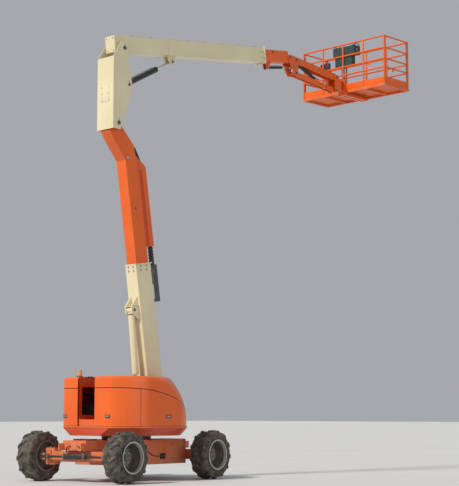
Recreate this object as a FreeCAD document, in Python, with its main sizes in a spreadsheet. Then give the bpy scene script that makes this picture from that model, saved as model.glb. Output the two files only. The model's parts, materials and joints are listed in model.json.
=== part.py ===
"""Articulating boom lift: four-wheel chassis, slewing turntable, telescoping tower, upright,
two-section main boom, parallelogram jib and a rotating platform. Millimetres, +Z up."""
import FreeCAD, Part
import math
import os
import re
import Sketcher

Vector = FreeCAD.Vector
doc = FreeCAD.newDocument("boom_lift")

# Driving dimensions: name, value in millimetres or degrees.
# The origin lies on the ground under the middle of the whole machine. The boom points along +X
# and the chassis stands turned under it by chassis_yaw.
SIZES = (
    ("swing_x", -2837.15),
    ("chassis_yaw", 7.5),
    ("pin_gap", 0.05),
    ("seat_gap", 0.3),
    ("ear_gap", 5),
    # wheels and axles
    ("wheelbase", 2500),
    ("track", 2120),
    ("tyre_dia", 930),
    ("tyre_wide", 355),
    ("rim_dia", 545),
    ("rim_wall", 12),
    ("lug_tall", 24),
    ("lug_wide", 68),
    ("hub_dia", 250),
    ("disc_thick", 18),
    ("disc_inset", 60),
    ("drum_dia", 300),
    ("axle_tall", 190),
    ("axle_deep", 170),
    ("kingpin_y", 770),
    ("kingpin_dia", 60),
    ("yoke_tall", 340),
    ("yoke_plate", 45),
    ("knuckle_tall", 210),
    ("knuckle_wide", 130),
    ("spindle_dia", 90),
    ("steer_arm", 180),
    # chassis frame
    ("frame_back", 780),
    ("frame_front", 1080),
    ("frame_wide", 1180),
    ("frame_low", 300),
    ("frame_top", 760),
    ("frame_wall", 20),
    ("horn_wide", 560),
    ("horn_low", 580),
    ("horn_end", 1440),
    ("lug_plate", 25),
    ("lug_size", 130),
    ("lug_hole", 45),
    ("slew_dia", 940),
    # turntable
    ("deck_low", 840),
    ("deck_flare", 980),
    ("deck_top", 1010),
    ("deck_plate", 40),
    ("table_x", -25),
    ("table_r", 1175),
    ("foot_r", 1050),
    ("tail_x", 1010),
    ("nose_x", 1140),
    ("side_y", 1115),
    ("slot_wide", 490),
    ("slot_wall", 16),
    ("window_x", -900),
    ("window_low", 1220),
    ("window_long", 450),
    ("window_tall", 520),
    ("hood_top", 1935),
    ("hood_wall", 14),
    ("hood_gap", 8),
    ("hinge_r", 8),
    ("hinge_long", 120),
    ("hood_flat_x", -600),
    ("hood_low", 1000),
    ("hood_bow_x", 1740),
    ("hood_bow_y", 1439),
    ("hood_bow_z", 1479),
    ("tail_sill", 1160),
    ("weight_long", 330),
    ("weight_slot", 1080),
    # tower
    ("foot_x", 660),
    ("foot_z", 1500),
    ("tower_angle", 98.7),
    ("tower_wide", 310),
    ("tower_deep", 380),
    ("tower_wall", 8),
    ("tower_long", 2680),
    ("tower_heel", 150),
    ("pivot_dia", 80),
    ("ear_plate", 30),
    ("fly_wide", 270),
    ("fly_deep", 310),
    ("fly_wall", 8),
    ("fly_tail", 1950),
    ("fly_head", 4500),
    ("knuckle_up", 911),
    ("knuckle_back", 325),
    ("knuckle_dia", 70),
    ("tube_wide", 110),
    ("tube_off", 375),
    ("tube_up", 60),
    ("tube_low", 2990),
    ("chain_wide", 74),
    ("chain_link", 62),
    ("guide_low", 1900),
    ("tower_eye_along", 1800),
    ("tower_eye_back", 300),
    ("tower_eye_wide", 140),
    ("tower_ram_x", 320),
    ("tower_ram_z", 1100),
    ("tower_ram_dia", 130),
    ("tower_rod_dia", 75),
    ("tower_barrel", 1240),
    ("tower_piston", 900),
    # upright
    ("upright_wide", 470),
    ("upright_wall", 14),
    ("upright_back", 130),
    ("main_x", 130),
    ("main_z", 1500),
    # main boom
    ("boom_angle", 7.8),
    ("boom_wide", 270),
    ("boom_tall", 320),
    ("boom_wall", 6),
    ("boom_rise", 100),
    ("boom_heel", 150),
    ("boom_short", 840),
    ("main_dia", 70),
    ("nose_fly_wide", 200),
    ("nose_fly_tall", 260),
    ("nose_fly_wall", 6),
    ("nose_fly_tail", 250),
    ("nose_along", 5040),
    ("boom_eye_along", 1420),
    ("boom_eye_drop", 182),
    ("boom_ram_x", 260),
    ("boom_ram_z", 790),
    ("boom_ram_dia", 115),
    ("boom_rod_dia", 65),
    ("boom_barrel", 1060),
    ("boom_piston", 280),
    # level bracket and jib
    ("nose_dia", 55),
    ("bracket_wide", 190),
    ("bracket_plate", 16),
    ("level_ram_dia", 62),
    ("level_eye_wide", 70),
    ("level_rod_dia", 32),
    ("level_barrel", 515),
    ("level_piston", 365),
    ("level_foot_back", 690),
    ("level_foot_drop", 250),
    ("level_eye_x", 140),
    ("level_eye_drop", 190),
    ("jib_x", 230),
    ("jib_drop", 20),
    ("jib_apart", 300),
    ("jib_angle", -6),
    ("jib_long", 1400),
    ("jib_gap", 90),
    ("jib_tall", 150),
    ("jib_plate", 20),
    ("arm_tall", 100),
    ("jib_dia", 45),
    ("jib_ram_dia", 75),
    ("jib_rod_dia", 42),
    ("jib_barrel", 800),
    ("jib_piston", 420),
    ("jib_eye_along", 1100),
    # platform
    ("turner_x", 185),
    ("turner_dia", 170),
    ("turner_tall", 220),
    ("basket_out", 175),
    ("basket_long", 2440),
    ("basket_deep", 914),
    ("basket_drop", 90),
    ("floor_tall", 60),
    ("rail_tall", 1110),
    ("rail_dia", 38),
    ("toe_tall", 150),
    ("toe_plate", 4),
    ("gate_pin_dia", 18),
    ("console_wide", 620),
)

sheet = doc.addObject("Spreadsheet::Sheet", "sizes")
for row, (name, value) in enumerate(SIZES, 1):
    sheet.set(f"A{row}", name)
    sheet.set(f"B{row}", str(value))
    sheet.setAlias(f"B{row}", name)
doc.recompute()

# Places worked out from the driving dimensions.
places = doc.addObject("App::VarSet", "places")
WORD = re.compile(r"[a-z][a-z_0-9]+")
SIZE_NAMES = {name for name, value in SIZES}
PLACE_NAMES = set()


def full(text):
    """An expression with each plain name led to the sheet or to the places."""
    def lead(match):
        word = match.group(0)
        if word in SIZE_NAMES:
            return "sizes." + word
        if word in PLACE_NAMES:
            return "places." + word
        return word
    return WORD.sub(lead, str(text))


def bind(item, **rules):
    """Binds properties of a document object to expressions; a double underscore stands for a dot."""
    for path, text in rules.items():
        item.setExpression(path.replace("__", "."), full(text))
    return item


def derive(name, text):
    places.addProperty("App::PropertyFloat", name)
    places.setExpression(name, full(text))
    PLACE_NAMES.add(name)


def derive_turned(name, base, angle, along, up):
    """A point given along and up from a base place, in a plane turned by angle about -Y."""
    derive(name + "_px", f"{base}_px + ({along}) * cos({angle}) - ({up}) * sin({angle})")
    derive(name + "_pz", f"{base}_pz + ({along}) * sin({angle}) + ({up}) * cos({angle})")


derive("swing_px", "swing_x")
derive("swing_pz", "0")
derive("foot_px", "swing_x + foot_x")
derive("foot_pz", "foot_z")
derive("knuckle_along", "fly_head + knuckle_up")
derive("tube_top", "fly_head + tube_up")
derive("boom_long", "nose_along - boom_short")
derive_turned("knuckle", "foot", "tower_angle", "knuckle_along", "knuckle_back")
derive("main_px", "knuckle_px + main_x")
derive("main_pz", "knuckle_pz + main_z")
derive_turned("nose", "main", "boom_angle", "nose_along", "boom_rise")
derive("jib_px", "nose_px + jib_x")
derive("jib_pz", "nose_pz - jib_drop")
derive_turned("tip", "jib", "jib_angle", "jib_long", "0")
derive("turner_px", "tip_px + turner_x")
derive("turner_pz", "tip_pz - jib_apart / 2")


def derive_ram(name, foot, eye):
    """Length and angle of a cylinder from its foot pin to its eye pin."""
    derive(name + "_span", f"sqrt(({eye}_px - {foot}_px)^2 + ({eye}_pz - {foot}_pz)^2)")
    derive(name + "_tilt", f"atan2({eye}_pz - {foot}_pz; {eye}_px - {foot}_px) / 1 deg")


derive_turned("tower_eye", "foot", "tower_angle", "tower_eye_along", "tower_eye_back")
derive("tower_ram_px", "swing_x + tower_ram_x")
derive("tower_ram_pz", "tower_ram_z")
derive_ram("tower_ram", "tower_eye", "tower_ram")
derive_turned("boom_eye", "main", "boom_angle", "boom_eye_along", "-boom_eye_drop")
derive("boom_ram_px", "knuckle_px + boom_ram_x")
derive("boom_ram_pz", "knuckle_pz + boom_ram_z")
derive_ram("boom_ram", "boom_ram", "boom_eye")
derive_turned("level_foot", "nose", "boom_angle", "-level_foot_back", "-level_foot_drop")
derive("level_eye_px", "nose_px + level_eye_x")
derive("level_eye_pz", "nose_pz - level_eye_drop")
derive_ram("level_ram", "level_foot", "level_eye")
derive("low_pin_px", "jib_px")
derive("low_pin_pz", "jib_pz - jib_apart")
derive_turned("jib_eye", "low_pin", "jib_angle", "jib_eye_along", "0")
derive_ram("jib_ram", "jib", "jib_eye")
doc.recompute()

# Frames of the sub-parts: x, z, axis and angle. Every one stands in the plane y = 0.
DOWN_Y = Vector(0, -1, 0)
UP_Z = Vector(0, 0, 1)
FRAMES = {
    "chassis": ("swing_px", "0", UP_Z, "chassis_yaw"),
    "turntable": ("swing_px", "0", UP_Z, "0"),
    "tower": ("foot_px", "foot_pz", DOWN_Y, "tower_angle"),
    "tower_ram": ("tower_eye_px", "tower_eye_pz", DOWN_Y, "tower_ram_tilt"),
    "upright": ("knuckle_px", "knuckle_pz", UP_Z, "0"),
    "boom": ("main_px", "main_pz", DOWN_Y, "boom_angle"),
    "boom_ram": ("boom_ram_px", "boom_ram_pz", DOWN_Y, "boom_ram_tilt"),
    "nose": ("nose_px", "nose_pz", UP_Z, "0"),
    "level_ram": ("level_foot_px", "level_foot_pz", DOWN_Y, "level_ram_tilt"),
    "jib": ("jib_px", "jib_pz", DOWN_Y, "jib_angle"),
    "jib_ram": ("jib_px", "jib_pz", DOWN_Y, "jib_ram_tilt"),
    "tip": ("tip_px", "tip_pz", UP_Z, "0"),
    "turner": ("turner_px", "turner_pz", UP_Z, "0"),
}
PLANES = {
    "xy": FreeCAD.Rotation(),
    "xz": FreeCAD.Rotation(Vector(1, 0, 0), 90),
    "yz": FreeCAD.Rotation(Vector(1, 1, 1), 120),
}
TURNS = {
    "x": FreeCAD.Rotation(Vector(0, 1, 0), 90),
    "y": FreeCAD.Rotation(Vector(1, 0, 0), -90),
    "z": FreeCAD.Rotation(),
}
subparts = []


def subpart(label, frame, shape):
    """Names a finished piece and stands it in its frame."""
    x, z, axis, angle = FRAMES[frame]
    shape.Label = label
    shape.Placement = FreeCAD.Placement(Vector(), FreeCAD.Rotation(axis, 1))
    bind(shape, Placement__Base__x=x, Placement__Base__z=z, Placement__Rotation__Angle=angle)
    subparts.append(shape)
    return shape


def at(item, x, y, z):
    return bind(item, Placement__Base__x=x, Placement__Base__y=y, Placement__Base__z=z)


def box(x, y, z, long, wide, tall):
    """A block from its low corner."""
    block = doc.addObject("Part::Box", "box")
    bind(block, Length=long, Width=wide, Height=tall)
    return at(block, x, y, z)


def rod(axis, x, y, z, radius, length):
    """A round bar from the middle of its first end, along an axis."""
    bar = doc.addObject("Part::Cylinder", "rod")
    bar.Placement = FreeCAD.Placement(Vector(), TURNS[axis])
    bind(bar, Radius=radius, Height=length)
    return at(bar, x, y, z)


def cone(axis, x, y, z, radius, end_radius, length):
    taper = doc.addObject("Part::Cone", "cone")
    taper.Placement = FreeCAD.Placement(Vector(), TURNS[axis])
    bind(taper, Radius1=radius, Radius2=end_radius, Height=length)
    return at(taper, x, y, z)


def outline(plane, loops, x="0", y="0", z="0"):
    """A sketch of closed loops of straight edges, each corner a pair of expressions."""
    sketch = doc.addObject("Sketcher::SketchObject", "outline")
    sketch.Placement = FreeCAD.Placement(Vector(), PLANES[plane])
    at(sketch, x, y, z)
    first = 0
    for loop in loops:
        count = len(loop)
        start = [Vector(math.cos(2 * math.pi * k / count), math.sin(2 * math.pi * k / count), 0)
                 for k in range(count)]
        for k in range(count):
            sketch.addGeometry(Part.LineSegment(start[k], start[(k + 1) % count]), False)
        for k, corner in enumerate(loop):
            after = first + (k + 1) % count
            sketch.addConstraint(Sketcher.Constraint("Coincident", first + k, 2, after, 1))
            for kind, rule in zip(("DistanceX", "DistanceY"), corner):
                rank = sketch.addConstraint(Sketcher.Constraint(kind, -1, 1, first + k, 1, 1.0))
                sketch.setExpression(f"Constraints[{rank}]", full(rule))
        first += count
    return sketch


def prism(plane, loops, depth, x="0", y="0", z="0", centred=True):
    """Loops drawn on a plane and given a depth, evenly to both sides or to one."""
    solid = doc.addObject("Part::Extrusion", "prism")
    solid.Base = outline(plane, loops, x, y, z)
    solid.DirMode = "Normal"
    solid.Solid = True
    solid.Symmetric = centred
    return bind(solid, LengthFwd=depth)


def turned(points, axis_name="z", x="0", y="0", z="0"):
    """A profile of (radius, height) corners turned about an axis."""
    solid = doc.addObject("Part::Revolution", "turned")
    solid.Source = outline("xz", [points])
    solid.Axis = UP_Z
    solid.Angle = 360
    solid.Solid = True
    solid.Placement = FreeCAD.Placement(Vector(), TURNS[axis_name])
    return at(solid, x, y, z)


def fuse(*pieces):
    joined = doc.addObject("Part::MultiFuse", "joined")
    joined.Shapes = list(pieces)
    joined.Refine = True
    return joined


def cut(base, *tools):
    result = doc.addObject("Part::Cut", "cut")
    result.Base = base
    result.Tool = tools[0] if len(tools) == 1 else fuse(*tools)
    return result


def common(*pieces):
    shared = doc.addObject("Part::MultiCommon", "shared")
    shared.Shapes = list(pieces)
    return shared


def rectangle(low_a, low_b, high_a, high_b):
    return [(low_a, low_b), (high_a, low_b), (high_a, high_b), (low_a, high_b)]


def box_tube(start, end, wide, tall, wall, rise="0"):
    """A hollow rectangular beam along x."""
    outer = rectangle(f"-({wide}) / 2", f"{rise} - ({tall}) / 2", f"({wide}) / 2", f"{rise} + ({tall}) / 2")
    inner = rectangle(f"-({wide}) / 2 + {wall}", f"{rise} - ({tall}) / 2 + {wall}",
                      f"({wide}) / 2 - {wall}", f"{rise} + ({tall}) / 2 - {wall}")
    return prism("yz", [outer, inner], f"({end}) - ({start})", x=start, centred=False)


def pad_pair(start, long, wide, tall, wall, inner_wide, inner_tall, rise="0"):
    """Four slide pads in the mouth of a beam, just clear of the beam that runs in it."""
    half_w = f"({wide}) / 2 - {wall}"
    half_t = f"({tall}) / 2 - {wall}"
    thick_w = f"({wide} - {inner_wide}) / 2 - {wall} - seat_gap"
    thick_t = f"({tall} - {inner_tall}) / 2 - {wall} - seat_gap"
    run = f"({inner_wide}) / 2"
    return [
        box(start, f"-({half_w})", f"{rise} - 60", long, thick_w, "120"),
        box(start, f"{half_w} - ({thick_w})", f"{rise} - 60", long, thick_w, "120"),
        box(start, f"-({run}) + 20", f"{rise} - ({half_t})", long, f"{inner_wide} - 40", thick_t),
        box(start, f"-({run}) + 20", f"{rise} + {half_t} - ({thick_t})", long, f"{inner_wide} - 40", thick_t),
    ]


def copy_of(piece):
    twin = doc.addObject("Part::Compound", "copy")
    twin.Links = [piece]
    return twin


# Wheels, made about the y axis with their outer side towards +y.
RIM_R = "rim_dia / 2"
CARCASS_R = "(tyre_dia / 2 - lug_tall)"
WALL_R = "rim_dia / 2 + 40"
TREAD_EDGE = "tyre_wide * 0.44"
LUGS = 12


def make_tyre():
    """A faceted carcass with a lug on each facet, alternately on its inner and outer half."""
    slabs = []
    lugs = []
    for k in range(LUGS):
        slab = copy_of(prism("xz", [[
            (CARCASS_R, f"-{TREAD_EDGE}"), (CARCASS_R, TREAD_EDGE), (WALL_R, "tyre_wide / 2"),
            (f"-({WALL_R})", "tyre_wide / 2"), (f"-{CARCASS_R}", TREAD_EDGE), (f"-{CARCASS_R}", f"-{TREAD_EDGE}"),
            (f"-({WALL_R})", "-tyre_wide / 2"), (WALL_R, "-tyre_wide / 2")]], "2 * tyre_dia"))
        slab.Placement = FreeCAD.Placement(Vector(), FreeCAD.Rotation(UP_Z, k * 180 / LUGS))
        slabs.append(slab)
    for k in range(2 * LUGS):
        lug = copy_of(box(f"{CARCASS_R} - 12", "-lug_wide / 2", "-tyre_wide * 0.04" if k % 2 else f"-{TREAD_EDGE}",
                          "lug_tall + 12", "lug_wide", f"{TREAD_EDGE} + tyre_wide * 0.04"))
        lug.Placement = FreeCAD.Placement(Vector(), FreeCAD.Rotation(UP_Z, k * 180 / LUGS))
        lugs.append(lug)
    tyre = copy_of(cut(fuse(common(*slabs), *lugs),
                       rod("z", "0", "0", "-tyre_wide", f"{RIM_R} + seat_gap", "2 * tyre_wide")))
    # The axle lies along y, with the middle of a lug at the ground.
    tyre.Placement = FreeCAD.Placement(Vector(), FreeCAD.Rotation(0, 0, -90))
    return tyre


def make_rim():
    lip = f"{RIM_R} + 18"
    inside = f"{RIM_R} - rim_wall"
    edge = "(tyre_wide / 2 + seat_gap)"
    hub = "hub_dia / 2"
    bore = "spindle_dia / 2 + pin_gap"
    return turned([
        (inside, f"-{edge} - 10"), (lip, f"-{edge} - 10"), (lip, f"-{edge}"), (RIM_R, f"-{edge}"),
        (RIM_R, edge), (lip, edge), (lip, f"{edge} + 10"), (inside, f"{edge} + 10"),
        (inside, "disc_thick - disc_inset"), (hub, "disc_thick - disc_inset"),
        (hub, "90 - disc_inset"), ("0", "90 - disc_inset"), ("0", "70 - disc_inset"),
        (bore, "70 - disc_inset"), (bore, "-70 - disc_inset"), (hub, "-70 - disc_inset"),
        (hub, "-disc_inset"), (inside, "-disc_inset"),
    ], "y")


AXLE_Z = "tyre_dia / 2"
SPINDLE_END = "track / 2 - disc_inset + 70 - seat_gap"
tyre = make_tyre()
rim = make_rim()
# name, side along x, side along y
WHEELS = (
    ("front_left", 1, 1),
    ("front_right", 1, -1),
    ("rear_left", -1, 1),
    ("rear_right", -1, -1),
)
for place, along, side in WHEELS:
    for name, pattern in (("tyre", tyre), ("rim", rim)):
        wheel = copy_of(pattern)
        wheel.Placement = FreeCAD.Placement(Vector(), FreeCAD.Rotation(UP_Z, 0 if side > 0 else 180))
        at(wheel, f"{along} * wheelbase / 2", f"{side} * track / 2", AXLE_Z)
        subpart(f"{name}_{place}", "chassis", copy_of(wheel))

# Axles: the driven one lies at +x, the steered one at -x.
subpart("drive_axle", "chassis", fuse(
    box("wheelbase / 2 - axle_deep / 2", "-track / 2 + 260", f"{AXLE_Z} - axle_tall / 2",
        "axle_deep", "track - 520", "axle_tall"),
    rod("x", "wheelbase / 2 - 150", "0", AXLE_Z, "axle_tall * 0.72", "300"),
    *[rod("y", "wheelbase / 2", start, AXLE_Z, "drum_dia / 2", "140")
      for start in ("track / 2 - 300", "-track / 2 + 160")],
    rod("y", "wheelbase / 2", f"-({SPINDLE_END})", AXLE_Z, "spindle_dia / 2", f"2 * ({SPINDLE_END})"),
))
STEER_X = "-wheelbase / 2"
STEER_BAR_X = f"{STEER_X} - steer_arm"
YOKE = "knuckle_tall / 2 + seat_gap"
steer_parts = [
    box(f"{STEER_X} - axle_deep / 2", "-kingpin_y + 100", f"{AXLE_Z} - axle_tall / 2",
        "axle_deep", "2 * kingpin_y - 200", "axle_tall"),
    box(f"{STEER_X} - steer_arm + 40", "-150", f"{AXLE_Z} - 50", f"steer_arm - 40", "300", "100"),
]
for side in (1, -1):
    start = "kingpin_y - 165" if side > 0 else "-kingpin_y - 65"
    steer_parts += [
        box(f"{STEER_X} - 65", start, f"{AXLE_Z} + {YOKE}", "130", "230", "yoke_plate"),
        box(f"{STEER_X} - 65", start, f"{AXLE_Z} - ({YOKE}) - yoke_plate", "130", "230", "yoke_plate"),
        box(f"{STEER_X} - 75", "kingpin_y - 165" if side > 0 else "-kingpin_y + 100",
            f"{AXLE_Z} - ({YOKE}) - 1", "150", "65", f"2 * ({YOKE}) + 2"),
        rod("z", STEER_X, f"{side} * kingpin_y", f"{AXLE_Z} - ({YOKE}) - yoke_plate",
            "kingpin_dia / 2", f"2 * ({YOKE}) + 2 * yoke_plate"),
    ]
steer_axle = fuse(*steer_parts)
subpart("steer_axle", "chassis", cut(
    steer_axle, rod("y", STEER_BAR_X, "-151", AXLE_Z, "50 + seat_gap", "302")))
subpart("steer_cylinder", "chassis", cut(
    rod("y", STEER_BAR_X, "-260", AXLE_Z, "50", "520"),
    rod("y", STEER_BAR_X, "-261", AXLE_Z, "22 + pin_gap", "522")))
subpart("tie_rod", "chassis", fuse(
    rod("y", STEER_BAR_X, "-kingpin_y + 10", AXLE_Z, "22", "2 * kingpin_y - 20"),
    rod("z", STEER_BAR_X, "kingpin_y", f"{AXLE_Z} - 25", "42", "50"),
    rod("z", STEER_BAR_X, "-kingpin_y", f"{AXLE_Z} - 25", "42", "50")))
for name, side in (("left", 1), ("right", -1)):
    block = box(f"{STEER_X} - knuckle_wide / 2", f"{side} * kingpin_y - knuckle_wide / 2",
                f"{AXLE_Z} - knuckle_tall / 2", "knuckle_wide", "knuckle_wide", "knuckle_tall")
    spindle_low = "kingpin_y" if side > 0 else f"-({SPINDLE_END})"
    spindle = rod("y", STEER_X, spindle_low, AXLE_Z, "spindle_dia / 2", f"({SPINDLE_END}) - kingpin_y")
    arm = [box(f"{STEER_X} - steer_arm - 30", f"{side} * kingpin_y - 30", z, f"steer_arm", "60", "22")
           for z in (f"{AXLE_Z} + 25 + seat_gap", f"{AXLE_Z} - 47 - seat_gap")]
    subpart(f"knuckle_{name}", "chassis", cut(
        fuse(block, spindle, *arm),
        rod("z", STEER_X, f"{side} * kingpin_y", f"{AXLE_Z} - knuckle_tall", "kingpin_dia / 2 + pin_gap",
            "2 * knuckle_tall")))

# Chassis frame: a box open below, horns over the axles, tie-down lugs and the slew ring.
FRAME_LONG = "(frame_back + frame_front)"
frame_parts = [cut(
    box("-frame_back", "-frame_wide / 2", "frame_low", FRAME_LONG, "frame_wide", "frame_top - frame_low"),
    box("-frame_back + frame_wall", "-frame_wide / 2 + frame_wall", "frame_low - 1",
        f"{FRAME_LONG} - 2 * frame_wall", "frame_wide - 2 * frame_wall", "frame_top - frame_low - frame_wall + 1"))]
frame_parts += [
    box("-frame_back + 1", y, "frame_low", f"{FRAME_LONG} - 2", "frame_wall", "frame_top - frame_low - 1")
    for y in ("frame_wide / 6 - frame_wall / 2", "-frame_wide / 6 - frame_wall / 2")]
frame_parts.append(box("-frame_wall / 2", "-frame_wide / 2 + 1", "frame_low", "frame_wall", "frame_wide - 2",
                       "frame_top - frame_low - 1"))
for along in (1, -1):
    low_x = "frame_front - 1" if along > 0 else "-horn_end"
    horn_long = "horn_end - frame_front + 1" if along > 0 else "horn_end - frame_back + 1"
    frame_parts.append(cut(
        box(low_x, "-horn_wide / 2", "horn_low", horn_long, "horn_wide", "frame_top - horn_low"),
        box(f"{low_x} + frame_wall", "-horn_wide / 2 + frame_wall", "horn_low - 1",
            f"{horn_long} - 2 * frame_wall", "horn_wide - 2 * frame_wall",
            "frame_top - horn_low - frame_wall + 1")))
    frame_parts += [
        box(f"{along} * wheelbase / 2 - 60", start, f"{AXLE_Z} + axle_tall / 2", "120", "100",
            f"horn_low - {AXLE_Z} - axle_tall / 2 + 20")
        for start in ("horn_wide / 2 - 100", "-horn_wide / 2")]
    for side in (1, -1):
        lug_x = "horn_end - 1" if along > 0 else "-horn_end - lug_size"
        lug_y = "horn_wide / 2 - lug_plate" if side > 0 else "-horn_wide / 2"
        frame_parts.append(cut(
            box(lug_x, lug_y, "horn_low", "lug_size + 1", "lug_plate", "lug_size"),
            rod("y", f"{along} * (horn_end + lug_size / 2)", f"{lug_y} - 1", "horn_low + lug_size / 2",
                "lug_hole / 2", "lug_plate + 2")))
subpart("chassis_frame", "chassis", fuse(*frame_parts))
subpart("slew_ring", "chassis", cut(
    rod("z", "0", "0", "frame_top", "slew_dia / 2", "deck_low - frame_top - seat_gap"),
    rod("z", "0", "0", "frame_top - 1", "slew_dia / 2 - 110", "deck_low - frame_top + 1")))


# Turntable
def table_form(inset, low, high):
    """The turntable's plan, rounded at its corners, drawn in by inset."""
    return common(
        rod("z", "table_x", "0", low, f"table_r - ({inset})", f"({high}) - ({low})"),
        box(f"-tail_x + ({inset})", f"-side_y + ({inset})", low, f"tail_x + nose_x - 2 * ({inset})",
            f"2 * side_y - 2 * ({inset})", f"({high}) - ({low})"))


def hood_form(inset, low):
    """The two hoods' outer shape, flat at the tail and bowed down and in to the nose."""
    top = f"hood_top - ({inset})"
    bow = doc.addObject("Part::Ellipsoid", "bow")
    bind(bow, Radius1=f"hood_bow_z - ({inset})", Radius2=f"hood_bow_x - ({inset})",
         Radius3=f"hood_bow_y - ({inset})")
    bow.Angle1 = -90
    bow.Angle2 = 90
    at(bow, "hood_flat_x", "0", "hood_low")
    return common(
        table_form(inset, low, top),
        fuse(box("-tail_x - 10", "-side_y - 10", low, "tail_x + 10 + hood_flat_x", "2 * side_y + 20",
                 f"{top} - ({low}) + 10"), bow))


EAR_IN = "tower_wide / 2 + ear_gap"
pan = cut(
    fuse(
        common(cone("z", "table_x", "0", "deck_low", "foot_r", "table_r", "deck_flare - deck_low"),
               table_form("0", "deck_low", "deck_flare")),
        table_form("0", "deck_flare", "deck_top")),
    table_form("20", "deck_flare", "deck_top + 1"),
    common(cone("z", "table_x", "0", "deck_low + deck_plate", "foot_r + 20", "table_r - 20",
                "deck_flare - deck_low - deck_plate"),
           table_form("20", "deck_low + deck_plate", "deck_flare + 1")))
wall_parts = []
for side in (1, -1):
    wall_y = "slot_wide / 2" if side > 0 else "-slot_wide / 2 - slot_wall"
    window = [box("window_x", wall_y + " - 1", "window_low", "window_long", "slot_wall + 2", "window_tall")] if side > 0 else []
    wall_parts.append(cut(
        common(hood_form("hood_wall + seat_gap", "deck_low + deck_plate - 1"),
               box("-tail_x + 40", wall_y, "deck_low", "tail_x + nose_x - 80", "slot_wall", "1200")),
        box("-tail_x", f"{wall_y} - 1", "deck_low", "40 + weight_long / 2", "slot_wall + 2",
            "tail_sill - deck_low + seat_gap"), *window))
    ear_y = EAR_IN if side > 0 else "-slot_wide / 2 - 1"
    wall_parts.append(prism("xz", [[
        ("foot_x - 260", "deck_low + deck_plate - 1"), ("foot_x + 260", "deck_low + deck_plate - 1"),
        ("foot_x + 130", "foot_z + 20"), ("foot_x + 60", "foot_z + 110"),
        ("foot_x - 60", "foot_z + 110"), ("foot_x - 130", "foot_z + 20")]],
        f"slot_wide / 2 - ({EAR_IN}) + 1", y=f"{ear_y} + slot_wide / 2 - ({EAR_IN}) + 1", centred=False))
    eye_y = "tower_eye_wide / 2 + seat_gap" if side > 0 else "-tower_eye_wide / 2 - 30 - seat_gap"
    wall_parts.append(prism("xz", [[
        ("tower_ram_x - 110", "deck_low + deck_plate - 1"), ("tower_ram_x + 110", "deck_low + deck_plate - 1"),
        ("tower_ram_x + 55", "tower_ram_z + 55"), ("tower_ram_x - 55", "tower_ram_z + 55")]],
        "30", y=f"{eye_y} + 30", centred=False))
wall_parts.append(rod("y", "foot_x", "-slot_wide / 2", "foot_z", "pivot_dia / 2", "slot_wide"))
subpart("turntable_frame", "turntable", fuse(pan, *wall_parts))
subpart("counterweight", "turntable", cut(
    common(table_form("40", "deck_low + deck_plate", "tail_sill"),
           rod("z", "table_x", "0", "deck_low + deck_plate", "foot_r", "tail_sill - deck_low - deck_plate")),
    box("-tail_x + 40 + weight_long", "-side_y", "deck_low", "tail_x + nose_x", "2 * side_y", "500"),
    box("-tail_x + 56", "-slot_wide / 2", "weight_slot", "tail_x", "slot_wide", "500"),
    box("-tail_x", "-slot_wide / 2", "tail_sill - 20", "tail_x", "slot_wide", "500"),
    *[box("-tail_x + 40 + weight_long / 2 - seat_gap", f"{start} - seat_gap", "deck_low", "weight_long",
          "slot_wall + 2 * seat_gap", "500")
      for start in ("slot_wide / 2", "-slot_wide / 2 - slot_wall")]))
subpart("engine_block", "turntable", copy_of(box(
    "-520", "slot_wide / 2 + slot_wall", "deck_low + deck_plate", "760", "560", "560")))
subpart("tank", "turntable", copy_of(box(
    "-520", "-slot_wide / 2 - slot_wall - 520", "deck_low + deck_plate", "820", "520", "480")))
HINGES = ("-760", "-200", "360")
hood_shell = cut(hood_form("0", "deck_top + hood_gap"), hood_form("hood_wall", "deck_top"))
for name, side in (("left", 1), ("right", -1)):
    half_y = "slot_wide / 2" if side > 0 else "-slot_wide / 2 - side_y"
    subpart(f"hood_{name}", "turntable", fuse(
        common(hood_shell, box("-tail_x - 20", half_y, "deck_low", "tail_x + nose_x + 40", "side_y", "1200")),
        *[rod("x", start, f"{side} * slot_wide / 2", "hood_top", "hinge_r", "hinge_long") for start in HINGES]))
subpart("beacon", "turntable", fuse(
    rod("z", "-650", "620", "hood_top", "50", "30"), rod("z", "-650", "620", "hood_top + 29", "42", "110")))


# Tower: x runs up the tower, z points to its rear.
def pin_boss(x, z, dia, wide, wall="30"):
    return rod("y", x, f"-({wide}) / 2", z, f"{dia} / 2 + {wall}", wide)


def pin_hole(x, z, dia, wide):
    return rod("y", x, f"-({wide}) / 2 - 1", z, f"{dia} / 2 + pin_gap", f"{wide} + 2")


tower_tube = fuse(
    box_tube("-tower_heel", "tower_long", "tower_wide", "tower_deep", "tower_wall"),
    box_tube("tower_long - 20", "tower_long", "tower_wide + 50", "tower_deep + 50", "tower_wall + 20"),
    pin_boss("0", "0", "pivot_dia", "tower_wide"),
    *pad_pair("tower_long - 160", "150", "tower_wide", "tower_deep", "tower_wall", "fly_wide", "fly_deep"),
    *[prism("xz", [[
        ("tower_eye_along - 210", "tower_deep / 2 - 1"), ("tower_eye_along + 260", "tower_deep / 2 - 1"),
        ("tower_eye_along + 70", "tower_eye_back + 65"), ("tower_eye_along - 65", "tower_eye_back + 65")]],
        "30", y=f"{side} * (tower_eye_wide / 2 + 15 + seat_gap)") for side in (1, -1)],
    box("tower_eye_along + 66", "-tower_eye_wide / 2 - 50", "tower_deep / 2 - 1", "14", "tower_eye_wide + 100",
        "tower_eye_back + 70 - tower_deep / 2"),
    rod("y", "tower_eye_along", "-tower_eye_wide / 2 - 30", "tower_eye_back", "25", "tower_eye_wide + 60"))
subpart("tower_base", "tower", cut(tower_tube, pin_hole("0", "0", "pivot_dia", "tower_wide")))
UPRIGHT_IN = "upright_wide - 2 * upright_wall"
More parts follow.
